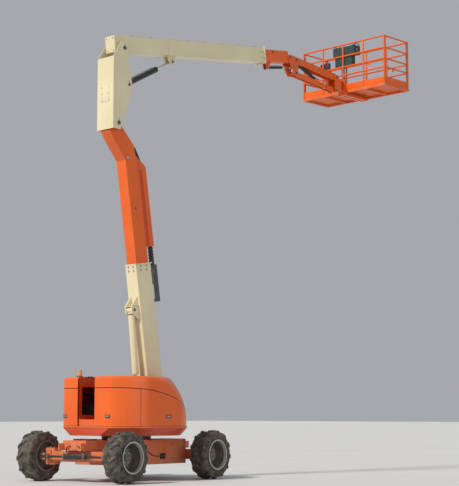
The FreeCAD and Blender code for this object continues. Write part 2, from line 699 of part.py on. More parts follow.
head_hollow = prism("xz", [[
    ("fly_head - 2", "-fly_deep / 2 + 14"), ("fly_head + 472", "-fly_deep / 2 + 79"),
    ("knuckle_along - 121", "knuckle_back - 179"), ("knuckle_along - 211", "knuckle_back + 8"),
    ("fly_head + 195", "fly_deep / 2 - 16"), ("fly_head - 2", "fly_deep / 2 - 14")]], "fly_wide - 28")
head = prism("xz", [[
    ("fly_head - 1", "-fly_deep / 2"), ("fly_head + 480", "-fly_deep / 2 + 60"),
    ("knuckle_along + 10", "knuckle_back - 112"), ("knuckle_along + 95", "knuckle_back - 60"),
    ("knuckle_along + 112", "knuckle_back + 20"), ("knuckle_along + 60", "knuckle_back + 95"),
    ("knuckle_along - 40", "knuckle_back + 105"), ("knuckle_along - 119", "knuckle_back + 119"),
    ("knuckle_along - 118", "knuckle_back + 157"), ("knuckle_along - 320", "knuckle_back + 60"),
    ("fly_head + 200", "fly_deep / 2"), ("fly_head - 1", "fly_deep / 2")]], "fly_wide")
hose_tube = [
    box_tube("tube_low", "tube_top", "tube_wide", "tube_wide", "5", "-tube_off"),
    prism("xz", [[("tube_top - 60", "-tube_off + tube_wide / 2 - 1"), ("tube_top - 1", "-tube_off - tube_wide / 2"),
                  ("tube_top + 330", "-fly_deep / 2 + 60"), ("tube_top + 240", "-fly_deep / 2 + 61")]], "tube_wide"),
    box("tube_low", "-tube_wide / 2 + 1", "-tube_off - tube_wide / 2 + 1", "8", "tube_wide - 2", "tube_wide - 2"),
]
subpart("tower_fly", "tower", cut(
    fuse(box_tube("fly_tail", "fly_head", "fly_wide", "fly_deep", "fly_wall"), cut(head, head_hollow), *hose_tube,
         pin_boss("knuckle_along", "knuckle_back", "knuckle_dia", f"{UPRIGHT_IN} - 2 * seat_gap")),
    pin_hole("knuckle_along", "knuckle_back", "knuckle_dia", UPRIGHT_IN)))
CHAIN_LINKS = 12
chain_links = [box(f"tube_low - {k + 1} * chain_link", "-chain_wide / 2", "-tube_off - 35",
                   "chain_link - 12", "chain_wide", "70") for k in range(CHAIN_LINKS)]
chain_core = box(f"tube_low - {CHAIN_LINKS} * chain_link", "-chain_wide / 2 + 8", "-tube_off - 25",
                 f"{CHAIN_LINKS} * chain_link - seat_gap", "chain_wide - 16", "50")
subpart("energy_chain", "tower", fuse(chain_core, *chain_links))
subpart("chain_guide", "tower", fuse(
    box("guide_low", "-tube_wide / 2 - 14", "-tube_off - 60", "tower_long - 50 - guide_low", "4", "130"),
    *[box(along, "-tube_wide / 2 - 14", "-tube_off + tube_wide / 2 + 10", "60", "50",
          "tube_off - tube_wide / 2 - 10 - tower_deep / 2")
      for along in ("guide_low", "tower_long - 150")]))


def make_ram(name, frame, eye_wide, ram_dia, rod_dia, barrel, piston, span, foot_bore):
    """A cylinder along x: its barrel's eye at the origin and its rod's eye at span."""
    tube = cut(
        fuse(rod("x", f"{ram_dia} * 0.4", "0", "0", f"{ram_dia} / 2", f"{barrel} - {ram_dia} * 0.4"),
             rod("y", "0", f"-({eye_wide}) / 2", "0", f"{ram_dia} * 0.45", eye_wide)),
        rod("x", f"{ram_dia} * 0.6", "0", "0", f"{ram_dia} / 2 - 9", f"{barrel} - {ram_dia} * 0.6 - 50"),
        rod("x", f"{ram_dia} * 0.6", "0", "0", f"{rod_dia} / 2 + pin_gap", f"{barrel} - {ram_dia} * 0.6 + 1"),
        rod("y", "0", f"-({eye_wide})", "0", f"{foot_bore} / 2 + pin_gap", f"2 * ({eye_wide})"))
    subpart(f"{name}_barrel", frame, tube)
    subpart(f"{name}_rod", frame, cut(
        fuse(rod("x", piston, "0", "0", f"{rod_dia} / 2", f"{span} - {piston} - 20"),
             rod("x", piston, "0", "0", f"{ram_dia} / 2 - 9 - pin_gap", "40"),
             rod("y", span, f"-({eye_wide}) / 2", "0", f"{ram_dia} * 0.42", eye_wide)),
        rod("y", span, f"-({eye_wide}) / 2 - 1", "0", f"{ram_dia} * 0.2", f"{eye_wide} + 2")))


make_ram("tower_cylinder", "tower_ram", "tower_eye_wide", "tower_ram_dia", "tower_rod_dia", "tower_barrel",
         "tower_piston", "tower_ram_span", "50")

# Upright
upright_side = [[
    ("-upright_back - 10", "-120"), ("50", "-120"), ("110", "100"), ("270", "420"), ("345", "650"),
    ("335", "850"), ("main_x + 115", "1250"), ("main_x + 115", "main_z + 60"), ("main_x + 75", "main_z + 125"),
    ("main_x - 75", "main_z + 125"), ("-upright_back - 10", "main_z - 200")]]
subpart("upright", "upright", fuse(
    *[prism("xz", upright_side, "upright_wall", y=f"{side} * (upright_wide - upright_wall) / 2") for side in (1, -1)],
    box("-upright_back - 10", "-upright_wide / 2 + 1", "-120", "upright_wall", "upright_wide - 2", "main_z - 80"),
    rod("y", "0", "-upright_wide / 2", "0", "knuckle_dia / 2", "upright_wide"),
    rod("y", "main_x", "-upright_wide / 2", "main_z", "main_dia / 2", "upright_wide"),
    rod("y", "boom_ram_x", "-upright_wide / 2", "boom_ram_z", "25", "upright_wide")))

# Main boom: x runs out along it from its pivot.
boom_tube = fuse(
    box_tube("-boom_heel", "boom_long", "boom_wide", "boom_tall", "boom_wall", "boom_rise"),
    box_tube("boom_long - 25", "boom_long", "boom_wide + 50", "boom_tall + 50", "boom_wall + 20", "boom_rise"),
    box("-boom_heel", "-boom_wide / 2 + 1", "boom_rise - boom_tall / 2 + 1", "8", "boom_wide - 2", "boom_tall - 2"),
    box_tube("boom_eye_along - 130", "boom_eye_along + 130", "boom_wide + 14", "boom_tall + 14", "boom_wall + 8",
             "boom_rise"),
    pin_boss("0", "0", "main_dia", f"{UPRIGHT_IN} - 2 * seat_gap"),
    *pad_pair("boom_long - 160", "150", "boom_wide", "boom_tall", "boom_wall", "nose_fly_wide", "nose_fly_tall",
              "boom_rise"),
    *[prism("xz", [[
        ("boom_eye_along - 110", "boom_rise - boom_tall / 2 + 1"),
        ("boom_eye_along + 110", "boom_rise - boom_tall / 2 + 1"),
        ("boom_eye_along + 50", "-boom_eye_drop - 50"), ("boom_eye_along - 50", "-boom_eye_drop - 50")]],
        "25", y=f"{side} * (57.5 + seat_gap)") for side in (1, -1)])
subpart("main_boom", "boom", cut(boom_tube, pin_hole("0", "0", "main_dia", UPRIGHT_IN)))
make_ram("boom_cylinder", "boom_ram", "90", "boom_ram_dia", "boom_rod_dia", "boom_barrel", "boom_piston",
         "boom_ram_span", "50")
fly_boss = pin_boss("nose_along", "boom_rise", "nose_dia", "nose_fly_wide")
level_ears = [prism("xz", [[
    ("nose_along - level_foot_back - 60", "boom_rise - nose_fly_tall / 2 + 1"),
    ("nose_along - level_foot_back + 120", "boom_rise - nose_fly_tall / 2 + 1"),
    ("nose_along - level_foot_back + 35", "boom_rise - level_foot_drop - 35"),
    ("nose_along - level_foot_back - 35", "boom_rise - level_foot_drop - 35")]],
    "14", y=f"{side} * (level_eye_wide / 2 + 7 + seat_gap)") for side in (1, -1)]
subpart("main_fly", "boom", cut(
    fuse(box_tube("nose_fly_tail", "nose_along - 30", "nose_fly_wide", "nose_fly_tall", "nose_fly_wall", "boom_rise"),
         fly_boss, *level_ears,
         rod("y", "nose_along - level_foot_back", "-level_eye_wide / 2 - 14", "boom_rise - level_foot_drop", "15",
             "level_eye_wide + 28")),
    pin_hole("nose_along", "boom_rise", "nose_dia", "nose_fly_wide")))
make_ram("level_cylinder", "level_ram", "level_eye_wide", "level_ram_dia", "level_rod_dia", "level_barrel",
         "level_piston", "level_ram_span", "30")

# Level bracket, jib and jib end
CHEEK = "nose_fly_wide / 2 + seat_gap + bracket_plate / 2"
subpart("level_bracket", "nose", fuse(
    *[prism("xz", [[
        ("-60", "45"), ("60", "60"), ("jib_x + 60", "-jib_drop + 50"), ("jib_x + 60", "-jib_drop - jib_apart - 50"),
        ("jib_x - 60", "-jib_drop - jib_apart - 50"), ("level_eye_x - 70", "-level_eye_drop - 20"), ("-60", "-45")]],
        "bracket_plate", y=f"{side} * ({CHEEK})") for side in (1, -1)],
    *[prism("xz", [[
        ("level_eye_x - 35", "-level_eye_drop - 35"), ("level_eye_x + 35", "-level_eye_drop - 35"),
        ("level_eye_x + 35", "-level_eye_drop + 35"), ("level_eye_x - 35", "-level_eye_drop + 35")]],
        "(nose_fly_wide - level_eye_wide) / 2 + 1",
        y=f"{side} * (level_eye_wide / 2 + seat_gap + ((nose_fly_wide - level_eye_wide) / 2 + 1) / 2)") for side in (1, -1)],
    rod("y", "0", f"-({CHEEK})", "0", "nose_dia / 2", f"2 * ({CHEEK})"),
    rod("y", "jib_x", f"-({CHEEK})", "-jib_drop", "jib_dia / 2", f"2 * ({CHEEK})"),
    rod("y", "jib_x", f"-({CHEEK})", "-jib_drop - jib_apart", "jib_dia / 2", f"2 * ({CHEEK})")))
ARM_Y = "(jib_gap + jib_plate) / 2"
RAIL_Y = f"({ARM_Y} + jib_plate + ear_gap)"
BOSS_WIDE = "(nose_fly_wide - jib_gap) / 2"


def open_boss(x, dia, wall):
    """A boss in two halves that leaves the gap between the arm's plates open."""
    return [rod("y", x, start, "0", f"{dia} / 2 + {wall}", BOSS_WIDE)
            for start in ("jib_gap / 2", "-nose_fly_wide / 2")]


subpart("jib_upper_arm", "jib", cut(
    fuse(*[box("0", f"{side} * {RAIL_Y} - jib_plate / 2", "-jib_tall / 2", "jib_long", "jib_plate", "jib_tall")
           for side in (1, -1)],
         *open_boss("0", "jib_dia", "22"), pin_boss("jib_long", "0", "jib_dia", "nose_fly_wide", "22")),
    pin_hole("0", "0", "jib_dia", "nose_fly_wide"), pin_hole("jib_long", "0", "jib_dia", "nose_fly_wide")))
lower_arm = subpart("jib_lower_arm", "jib", cut(
    fuse(*[box("0", f"{side} * {ARM_Y} - jib_plate / 2", "-arm_tall / 2", "jib_long", "jib_plate", "arm_tall")
           for side in (1, -1)],
         *open_boss("0", "jib_dia", "17"), pin_boss("jib_long", "0", "jib_dia", "jib_gap + 2 * jib_plate", "17")),
    pin_hole("0", "0", "jib_dia", "nose_fly_wide"), pin_hole("jib_long", "0", "jib_dia", "nose_fly_wide")))
bind(lower_arm, Placement__Base__z="jib_pz - jib_apart")
make_ram("jib_cylinder", "jib_ram", "jib_gap - 2 * seat_gap", "jib_ram_dia", "jib_rod_dia", "jib_barrel",
         "jib_piston", "jib_ram_span", "jib_dia")
subpart("jib_end_bracket", "tip", cut(fuse(
    *[prism("xz", [[
        ("-50", "45"), ("60", "45"), ("95", "0"), ("95", "-jib_apart"), ("60", "-jib_apart - 45"), ("-50", "-jib_apart - 45")]],
        "bracket_plate", y=f"{side} * ({CHEEK})") for side in (1, -1)],
    box("79", f"-({CHEEK})", "-jib_apart", "16", f"2 * ({CHEEK})", "jib_apart"),
    rod("z", "turner_x", "0", "-jib_apart / 2 - turner_tall / 2", "turner_dia / 2", "turner_tall"),
    box("94", "-70", "-jib_apart / 2 - turner_tall / 2 + 10", "turner_x - 94", "140", "turner_tall - 20"),
    rod("y", "0", f"-({CHEEK})", "0", "jib_dia / 2", f"2 * ({CHEEK})"),
    rod("y", "0", f"-({CHEEK})", "-jib_apart", "jib_dia / 2", f"2 * ({CHEEK})")),
    rod("z", "turner_x", "0", "-jib_apart", "30 + pin_gap", "2 * jib_apart")))

# Platform
CLAMP = "turner_tall / 2 + seat_gap"
subpart("rotator", "turner", fuse(
    rod("z", "0", "0", f"-({CLAMP}) - 20", "30", f"2 * ({CLAMP}) + 40"),
    *[fuse(rod("z", "0", "0", z, "turner_dia / 2", "20"), box("0", "-60", z, "basket_out", "120", "20"))
      for z in (CLAMP, f"-({CLAMP}) - 20")],
    box("basket_out - 45", "-90", "-basket_drop - floor_tall - 60", "45", "180", f"{CLAMP} + 20 + basket_drop + floor_tall + 60"),
    *[box("basket_out - 45", f"{y}", "-basket_drop - floor_tall - 60", "basket_deep - 60", "70", "60 - seat_gap")
      for y in ("-90", "20")]))
FLOOR_LOW = "-basket_drop - floor_tall"
GATE_X = "basket_out + 1.5 * rail_dia + 8"
GATE_Y = "basket_long / 2 - rail_dia / 2"
subpart("platform_floor", "turner", fuse(
    box("basket_out", "-basket_long / 2", "-basket_drop - 8", "basket_deep", "basket_long", "8"),
    *[box("basket_out", y, FLOOR_LOW, "basket_deep", "50", "floor_tall - 7")
      for y in ("-basket_long / 2", "-basket_long / 4 - 25", "-25", "basket_long / 4 - 25", "basket_long / 2 - 50")],
    rod("z", GATE_X, GATE_Y, "-basket_drop - 7", "gate_pin_dia / 2", "67"),
    *[box(x, "-basket_long / 2", FLOOR_LOW, "50", "basket_long", "floor_tall - 7")
      for x in ("basket_out", "basket_out + basket_deep - 50")]))
RAIL_R = "rail_dia / 2"
LEVELS = ("rail_tall - rail_dia / 2", "rail_tall * 0.62", "rail_tall * 0.36")


def rail_panel(axis, x, y, start, length, posts, lift="0"):
    """A flat rail panel: posts, three rails and a toe board, held lift above the floor."""
    pieces = []
    for level in LEVELS:
        pieces.append(rod(axis, x if axis == "y" else start, start if axis == "y" else y,
                          f"-basket_drop + {level}", RAIL_R, length))
    for k in range(posts):
        along = f"{start} + {RAIL_R} + {k} * ({length} - rail_dia) / {posts - 1}"
        pieces.append(rod("z", x if axis == "y" else along, along if axis == "y" else y,
                          f"-basket_drop + {lift}", RAIL_R, f"rail_tall - rail_dia / 2 - {lift}"))
    board = (f"{x} - toe_plate / 2", start, "toe_plate", length) if axis == "y" else (
        start, f"{y} - toe_plate / 2", length, "toe_plate")
    pieces.append(box(board[0], board[1], f"-basket_drop + {lift}", board[2], board[3], "toe_tall"))
    return fuse(*pieces)


BACK_X = f"basket_out + {RAIL_R}"
subpart("rail_back", "turner", rail_panel("y", BACK_X, "0", "-basket_long / 2", "basket_long", 5))
subpart("rail_front", "turner", rail_panel(
    "y", f"basket_out + basket_deep - {RAIL_R}", "0", "-basket_long / 2", "basket_long", 5))
subpart("rail_right", "turner", rail_panel(
    "x", "0", f"-basket_long / 2 + {RAIL_R}", "basket_out + rail_dia", "basket_deep - 2 * rail_dia", 2))
subpart("gate", "turner", cut(
    rail_panel("x", "0", GATE_Y, "basket_out + rail_dia + 8", "basket_deep - 2 * rail_dia - 16", 2, "5"),
    rod("z", GATE_X, GATE_Y, "-basket_drop - 1", "gate_pin_dia / 2 + pin_gap", "70")))
subpart("control_console", "turner", fuse(
    box("basket_out + rail_dia + seat_gap", "-console_wide / 2", "-basket_drop + rail_tall - 260", "230", "console_wide", "200"),
    box("basket_out + rail_dia + seat_gap", "-console_wide / 2 + 60", "-basket_drop + rail_tall - 520", "120",
        "console_wide - 120", "261")))

doc.recompute()
for item in doc.Objects:
    if {"Invalid", "Error"} & set(item.State):
        raise RuntimeError(f"{item.Name} ({item.Label}) failed: {item.State}")
os.makedirs("parts", exist_ok=True)
for piece in subparts:
    if piece.Shape.isNull() or not piece.Shape.isValid():
        raise RuntimeError(f"{piece.Label} has no valid shape")
    piece.Shape.exportStep(f"parts/{piece.Label}.step")
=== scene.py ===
"""Looks of the articulating boom lift: materials, tyres, fasteners, seams, lights and camera."""
import bmesh
import bpy
import json
import math
from mathutils import Matrix, Vector


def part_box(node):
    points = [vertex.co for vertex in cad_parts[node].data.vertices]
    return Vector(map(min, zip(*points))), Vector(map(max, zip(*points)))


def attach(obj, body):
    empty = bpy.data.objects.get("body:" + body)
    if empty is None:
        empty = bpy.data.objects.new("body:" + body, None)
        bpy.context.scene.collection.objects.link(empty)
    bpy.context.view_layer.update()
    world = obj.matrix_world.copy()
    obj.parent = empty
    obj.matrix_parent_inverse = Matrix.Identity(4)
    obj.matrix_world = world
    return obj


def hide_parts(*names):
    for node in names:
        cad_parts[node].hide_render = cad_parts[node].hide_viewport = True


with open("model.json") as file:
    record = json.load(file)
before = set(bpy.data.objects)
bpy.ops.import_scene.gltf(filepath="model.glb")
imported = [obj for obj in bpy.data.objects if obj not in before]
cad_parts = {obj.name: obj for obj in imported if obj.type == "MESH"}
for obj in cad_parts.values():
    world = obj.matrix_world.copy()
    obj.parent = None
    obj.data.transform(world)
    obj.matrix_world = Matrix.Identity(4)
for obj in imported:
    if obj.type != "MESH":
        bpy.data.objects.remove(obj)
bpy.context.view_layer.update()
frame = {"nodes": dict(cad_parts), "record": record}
NODES = frame["nodes"]
JOINTS = {j["name"]: j for j in frame["record"]["behaviour"]["joints"]}
SIDES = (1, -1)
UP, BACK = (0, 0, 1), (-1, 0, 0)


# Frames of the machine.
def stand(origin, along=(1, 0, 0), side=None):
    """A frame with x along a direction in the plane y = 0, or turned about z with a given y."""
    y = Vector((0, 1, 0)) if side is None else Vector(side).normalized()
    x = Vector(along).normalized() if side is None else y.cross(Vector((0, 0, 1)))
    m = Matrix((x, y, x.cross(y))).transposed().to_4x4()
    m.translation = Vector(origin)
    return m


def pin(name):
    return Vector(JOINTS[name]["pos_m"])


SWING = pin("swing")
CHASSIS = stand((SWING.x, 0, 0), side=JOINTS["wheel_front_left_spin"]["axis"])
TABLE = Matrix.Translation((SWING.x, 0, 0))
TOWER = stand(pin("tower_lift"), JOINTS["tower_telescope"]["axis"])
UPRIGHT = Matrix.Translation(pin("upright_level"))
BOOM = stand(pin("main_lift"), JOINTS["main_telescope"]["axis"])
NOSE = Matrix.Translation(pin("platform_level"))
JIB = stand(pin("jib_lift"), pin("jib_end_level") - pin("jib_lift"))
TIP = Matrix.Translation(pin("jib_end_level"))
TURNER = Matrix.Translation(pin("platform_rotate"))


# Materials.
class Tree:
    """A small helper around a material's node tree."""

    def __init__(self, name):
        self.mat = bpy.data.materials.new(name)
        self.mat.use_nodes = True
        self.tree = self.mat.node_tree
        self.bsdf = self.tree.nodes["Principled BSDF"]
        self.coord = self.add("ShaderNodeTexCoord").outputs["Object"]
        self.geometry = self.add("ShaderNodeNewGeometry")

    def add(self, kind, **values):
        node = self.tree.nodes.new(kind)
        for key, value in values.items():
            setattr(node, key, value)
        return node

    def link(self, source, target):
        self.tree.links.new(source, target)

    def noise(self, scale, detail=4, rough=0.55, stretch=None):
        node = self.add("ShaderNodeTexNoise")
        node.inputs["Scale"].default_value = scale
        node.inputs["Detail"].default_value = detail
        node.inputs["Roughness"].default_value = rough
        if stretch:
            mapping = self.add("ShaderNodeMapping")
            mapping.inputs["Scale"].default_value = stretch
            self.link(self.coord, mapping.inputs["Vector"])
            self.link(mapping.outputs["Vector"], node.inputs["Vector"])
        else:
            self.link(self.coord, node.inputs["Vector"])
        return node.outputs["Fac"]

    def ramp(self, source, low, high, start=0.0, end=1.0):
        node = self.add("ShaderNodeMapRange")
        node.inputs["From Min"].default_value = low
        node.inputs["From Max"].default_value = high
        node.inputs["To Min"].default_value = start
        node.inputs["To Max"].default_value = end
        self.link(source, node.inputs["Value"])
        return node.outputs["Result"]

    def feed(self, socket, value):
        """Sets a socket to a number or a colour, or links an output to it."""
        if isinstance(value, (int, float)):
            socket.default_value = value
        elif isinstance(value, tuple):
            socket.default_value = (*value, 1)
        elif value is not None:
            self.link(value, socket)

    def math(self, operation, a, b):
        node = self.add("ShaderNodeMath", operation=operation)
        self.feed(node.inputs[0], a)
        self.feed(node.inputs[1], b)
        return node.outputs[0]

    def mix(self, factor, a, b):
        node = self.add("ShaderNodeMix", data_type="RGBA")
        for slot, value in ((0, factor), (6, a), (7, b)):
            self.feed(node.inputs[slot], value)
        return node.outputs[2]

    def bump(self, height, strength, distance=0.001, normal=None):
        node = self.add("ShaderNodeBump")
        node.inputs["Strength"].default_value = strength
        node.inputs["Distance"].default_value = distance
        self.feed(node.inputs["Height"], height)
        self.feed(node.inputs["Normal"], normal)
        return node.outputs["Normal"]

    def soft_edges(self, radius):
        node = self.add("ShaderNodeBevel", samples=4)
        node.inputs["Radius"].default_value = radius
        return node.outputs["Normal"]

    def edge_mask(self, radius, low=0.85, high=0.99):
        rounded = self.soft_edges(radius)
        node = self.add("ShaderNodeVectorMath", operation="DOT_PRODUCT")
        self.link(rounded, node.inputs[0])
        self.link(self.geometry.outputs["Normal"], node.inputs[1])
        return self.ramp(node.outputs["Value"], low, high, 1, 0), rounded

    def upright(self, source):
        split = self.add("ShaderNodeSeparateXYZ")
        self.link(source, split.inputs[0])
        return split.outputs["Z"]

    def facing_up(self):
        return self.ramp(self.upright(self.geometry.outputs["Normal"]), 0.2, 0.95)

    def finish(self, colour=None, rough=None, normal=None, **values):
        for target, value in (("Base Color", colour), ("Roughness", rough), ("Normal", normal)):
            self.feed(self.bsdf.inputs[target], value)
        for key, value in values.items():
            self.bsdf.inputs[key.replace("_", " ")].default_value = value
        return self.mat


DUST = (0.42, 0.33, 0.22)


def paint(name, base, dark, rough=0.34, dust=0.25, low_dust=0.0, chips=(0.10, 0.085, 0.075), chip=0.5):
    """Sprayed paint: slow tone drift, orange peel, dust where it settles and worn edges."""
    t = Tree(name)
    drift = t.ramp(t.noise(0.9, 3), 0.3, 0.7)
    colour = t.mix(t.ramp(drift, 0, 1, 0, 0.55), base, dark)
    streak = t.ramp(t.noise(3.0, 5, 0.6, (5, 5, 0.5)), 0.48, 0.72, 0, 0.22)
    colour = t.mix(streak, colour, dark)
    patch = t.noise(7, 6, 0.65)
    settle = t.math("MULTIPLY", t.ramp(patch, 0.35, 0.75), t.math("MULTIPLY", t.facing_up(), dust))
    if low_dust:
        splash = t.ramp(t.upright(t.coord), 0.25, 1.3, low_dust, 0)
        settle = t.math("MAXIMUM", settle, t.math("MULTIPLY", splash, t.ramp(patch, 0.25, 0.6)))
    colour = t.mix(settle, colour, DUST)
    edge, rounded = t.edge_mask(0.006)
    worn = t.math("MULTIPLY", edge, t.ramp(t.noise(14, 8, 0.7), 0.52, 0.6, 0, chip))
    colour = t.mix(worn, colour, chips)
    roughness = t.math("ADD", t.ramp(t.noise(22, 5), 0.3, 0.7, rough - 0.05, rough + 0.09),
                       t.math("MULTIPLY", settle, 0.4))
    peel = t.bump(t.noise(420, 2), 0.10, 0.0006, rounded)
    return t.finish(colour, roughness, peel, Coat_Weight=0.12, Coat_Roughness=0.18)


def steel(name, base, dark, rough):
    t = Tree(name)
    colour = t.mix(t.ramp(t.noise(6, 6, 0.6), 0.35, 0.7), base, dark)
    grain = t.noise(160, 3, 0.5)
    roughness = t.ramp(t.noise(30, 4), 0.3, 0.7, rough - 0.08, rough + 0.12)
    edge, rounded = t.edge_mask(0.003)
    colour = t.mix(t.math("MULTIPLY", edge, 0.35), colour, tuple(min(1, c * 1.5) for c in base))
    return t.finish(colour, roughness, t.bump(grain, 0.08, 0.0005, rounded), Metallic=1.0)


def moulded(name, base, rough=0.5, grain=260, dust=0.3):
    t = Tree(name)
    colour = t.mix(t.ramp(t.noise(5, 5), 0.35, 0.7, 0, 0.6), base, tuple(c * 0.6 for c in base))
    settle = t.math("MULTIPLY", t.ramp(t.noise(9, 6, 0.6), 0.35, 0.7), t.math("MULTIPLY", t.facing_up(), dust))
    colour = t.mix(settle, colour, DUST)
    rounded = t.soft_edges(0.004)
    return t.finish(colour, t.ramp(t.noise(40, 3), 0.3, 0.7, rough - 0.06, rough + 0.12),
                    t.bump(t.noise(grain, 3), 0.22, 0.0008, rounded))


def tread_rubber(name):
    """Black rubber with dried dust in its grooves and on its side."""
    t = Tree(name)
    patch = t.noise(11, 7, 0.65)
    low = t.mix(t.ramp(t.noise(3, 4), 0.3, 0.7), (0.022, 0.022, 0.023), (0.043, 0.041, 0.038))
    crust = t.math("MULTIPLY", t.ramp(patch, 0.40, 0.64), 0.72)
    colour = t.mix(crust, low, (0.20, 0.165, 0.115))
    edge, rounded = t.edge_mask(0.008)
    colour = t.mix(t.math("MULTIPLY", edge, 0.35), colour, (0.12, 0.11, 0.095))
    return t.finish(colour, t.ramp(patch, 0.3, 0.7, 0.7, 0.92), t.bump(t.noise(190, 4), 0.35, 0.001, rounded))


ORANGE = (0.84, 0.135, 0.010)
ORANGE_DARK = (0.64, 0.085, 0.007)
# Darker red-orange for the turntable pan: painted shade under the hood's lip and in the slot recess, on the pan's
# orange
PAINTED_SHADE_ORANGE = (0.62, 0.058, 0.008)
PAINTED_SHADE_ORANGE_DARK = (0.42, 0.035, 0.006)
# Lighter orange for the pan's rolled lip: a painted highlight along its edge
LIP_PAINTED_HIGHLIGHT_ORANGE = (0.92, 0.30, 0.07)
CREAM = (0.80, 0.72, 0.47)
CREAM_DARK = (0.62, 0.55, 0.34)

MATS = {
    "orange": paint("orange_paint", ORANGE, ORANGE_DARK, 0.33, 0.22),
    "orange_low": paint("orange_paint_low", ORANGE, ORANGE_DARK, 0.38, 0.3, 0.55, chip=0.8),
    # painted shade: the turntable pan's orange darkened to red-orange
    "orange_painted_shade": paint("orange_painted_shade_paint", PAINTED_SHADE_ORANGE, PAINTED_SHADE_ORANGE_DARK, 0.40, 0.3, 0.3, chip=0.8),
    # painted highlight: the lip bead's lighter orange
    "lip": paint("lip_painted_highlight", LIP_PAINTED_HIGHLIGHT_ORANGE, ORANGE, 0.30, 0.15),
    "cream": paint("cream_paint", CREAM, CREAM_DARK, 0.36, 0.2, chips=(0.18, 0.14, 0.10)),
    "black_paint": paint("dark_paint", (0.022, 0.022, 0.024), (0.012, 0.012, 0.013), 0.36, 0.3,
                         chips=(0.16, 0.15, 0.14)),
    # Rim paints: the rim's dark grey and the near-black dish stand in part for the shade inside the wheel, as painted
    # shade; the light lip ring is its lit edge, a painted highlight.
    "rim": paint("rim_paint", (0.115, 0.112, 0.105), (0.06, 0.058, 0.054), 0.42, 0.3, 0.3, chips=(0.15, 0.12, 0.09)),
    "rim_lip": paint("rim_lip_paint", (0.52, 0.51, 0.48), (0.26, 0.25, 0.22), 0.30, 0.3, 0.4, chips=(0.2, 0.18, 0.15)),
    "rim_dish": paint("rim_dish_paint", (0.035, 0.034, 0.033), (0.02, 0.019, 0.018), 0.55, 0.3, 0.35),
    "iron": paint("iron_paint", (0.085, 0.087, 0.09), (0.04, 0.04, 0.042), 0.55, 0.35, 0.4),
    "chrome": steel("rod_chrome", (0.74, 0.74, 0.76), (0.62, 0.62, 0.65), 0.13),
    "zinc": steel("zinc_plate", (0.58, 0.57, 0.53), (0.42, 0.41, 0.38), 0.38),
    "galvanised": steel("guide_steel", (0.16, 0.165, 0.17), (0.08, 0.082, 0.085), 0.45),
    "guide_edge": steel("guide_edge_steel", (0.66, 0.66, 0.64), (0.5, 0.5, 0.48), 0.42),
    "plastic": moulded("black_plastic", (0.028, 0.028, 0.03), 0.5),
    "tank": moulded("tank_plastic", (0.03, 0.03, 0.033), 0.55),
    "console": moulded("console_plastic", (0.03, 0.055, 0.048), 0.45, 340),
    "hose": moulded("hose_rubber", (0.018, 0.018, 0.019), 0.55, 500, 0.15),
    "seal": moulded("seal_rubber", (0.015, 0.015, 0.015), 0.7, 300, 0.2),
    "grip": moulded("grip_rubber", (0.02, 0.02, 0.02), 0.8, 700, 0.1),
    "tyre": tread_rubber("tyre_rubber"),
}


def amber_lens():
    t = Tree("beacon_amber")
    colour = t.mix(t.ramp(t.noise(20, 3), 0.3, 0.7), (0.88, 0.50, 0.20), (0.80, 0.38, 0.12))
    rib = t.noise(260, 2, 0.5, (1, 1, 0.1))
    return t.finish(colour, 0.22, t.bump(rib, 0.2, 0.001), Transmission_Weight=0.25, IOR=1.49, Coat_Weight=0.4)


MATS["amber"] = amber_lens()


def colour_plain(name, base, rough, **values):
    t = Tree(name)
    colour = t.mix(t.ramp(t.noise(24, 4), 0.3, 0.7), base, tuple(c * 0.75 for c in base))
    return t.finish(colour, t.ramp(t.noise(60, 3), 0.3, 0.7, rough - 0.05, rough + 0.08),
                    t.bump(t.noise(300, 2), 0.1, 0.0005), **values)


MATS["red"] = colour_plain("red_plastic", (0.55, 0.02, 0.015), 0.35)
MATS["yellow"] = colour_plain("yellow_plastic", (0.75, 0.52, 0.03), 0.4)
MATS["lamp"] = colour_plain("lamp_glass", (0.82, 0.82, 0.78), 0.15, Coat_Weight=0.6)


def floor_tread():
    """Raised-bar plate: small bars in two crossing directions, as height in the bump."""
    t = Tree("deck_plate")
    total = None
    for turn in (0.785, -0.785):
        mapping = t.add("ShaderNodeMapping")
        mapping.inputs["Rotation"].default_value = (0, 0, turn)
        mapping.inputs["Scale"].default_value = (28, 60, 1)
        t.link(t.coord, mapping.inputs["Vector"])
        cells = t.add("ShaderNodeTexVoronoi", feature="F1", distance="CHEBYCHEV")
        cells.inputs["Scale"].default_value = 0.75
        cells.inputs["Randomness"].default_value = 0.0
        t.link(mapping.outputs["Vector"], cells.inputs["Vector"])
        bar = t.ramp(cells.outputs["Distance"], 0.18, 0.30, 1, 0)
        total = bar if total is None else t.math("MAXIMUM", total, bar)
    colour = t.mix(t.ramp(t.noise(5, 6, 0.6), 0.35, 0.7), ORANGE, ORANGE_DARK)
    colour = t.mix(t.math("MULTIPLY", total, 0.35), colour, (0.45, 0.43, 0.40))
    colour = t.mix(t.math("MULTIPLY", t.ramp(t.noise(10, 6), 0.4, 0.7), 0.3), colour, DUST)
    return t.finish(colour, 0.5, t.bump(total, 0.8, 0.002, t.soft_edges(0.003)))


MATS["deck"] = floor_tread()

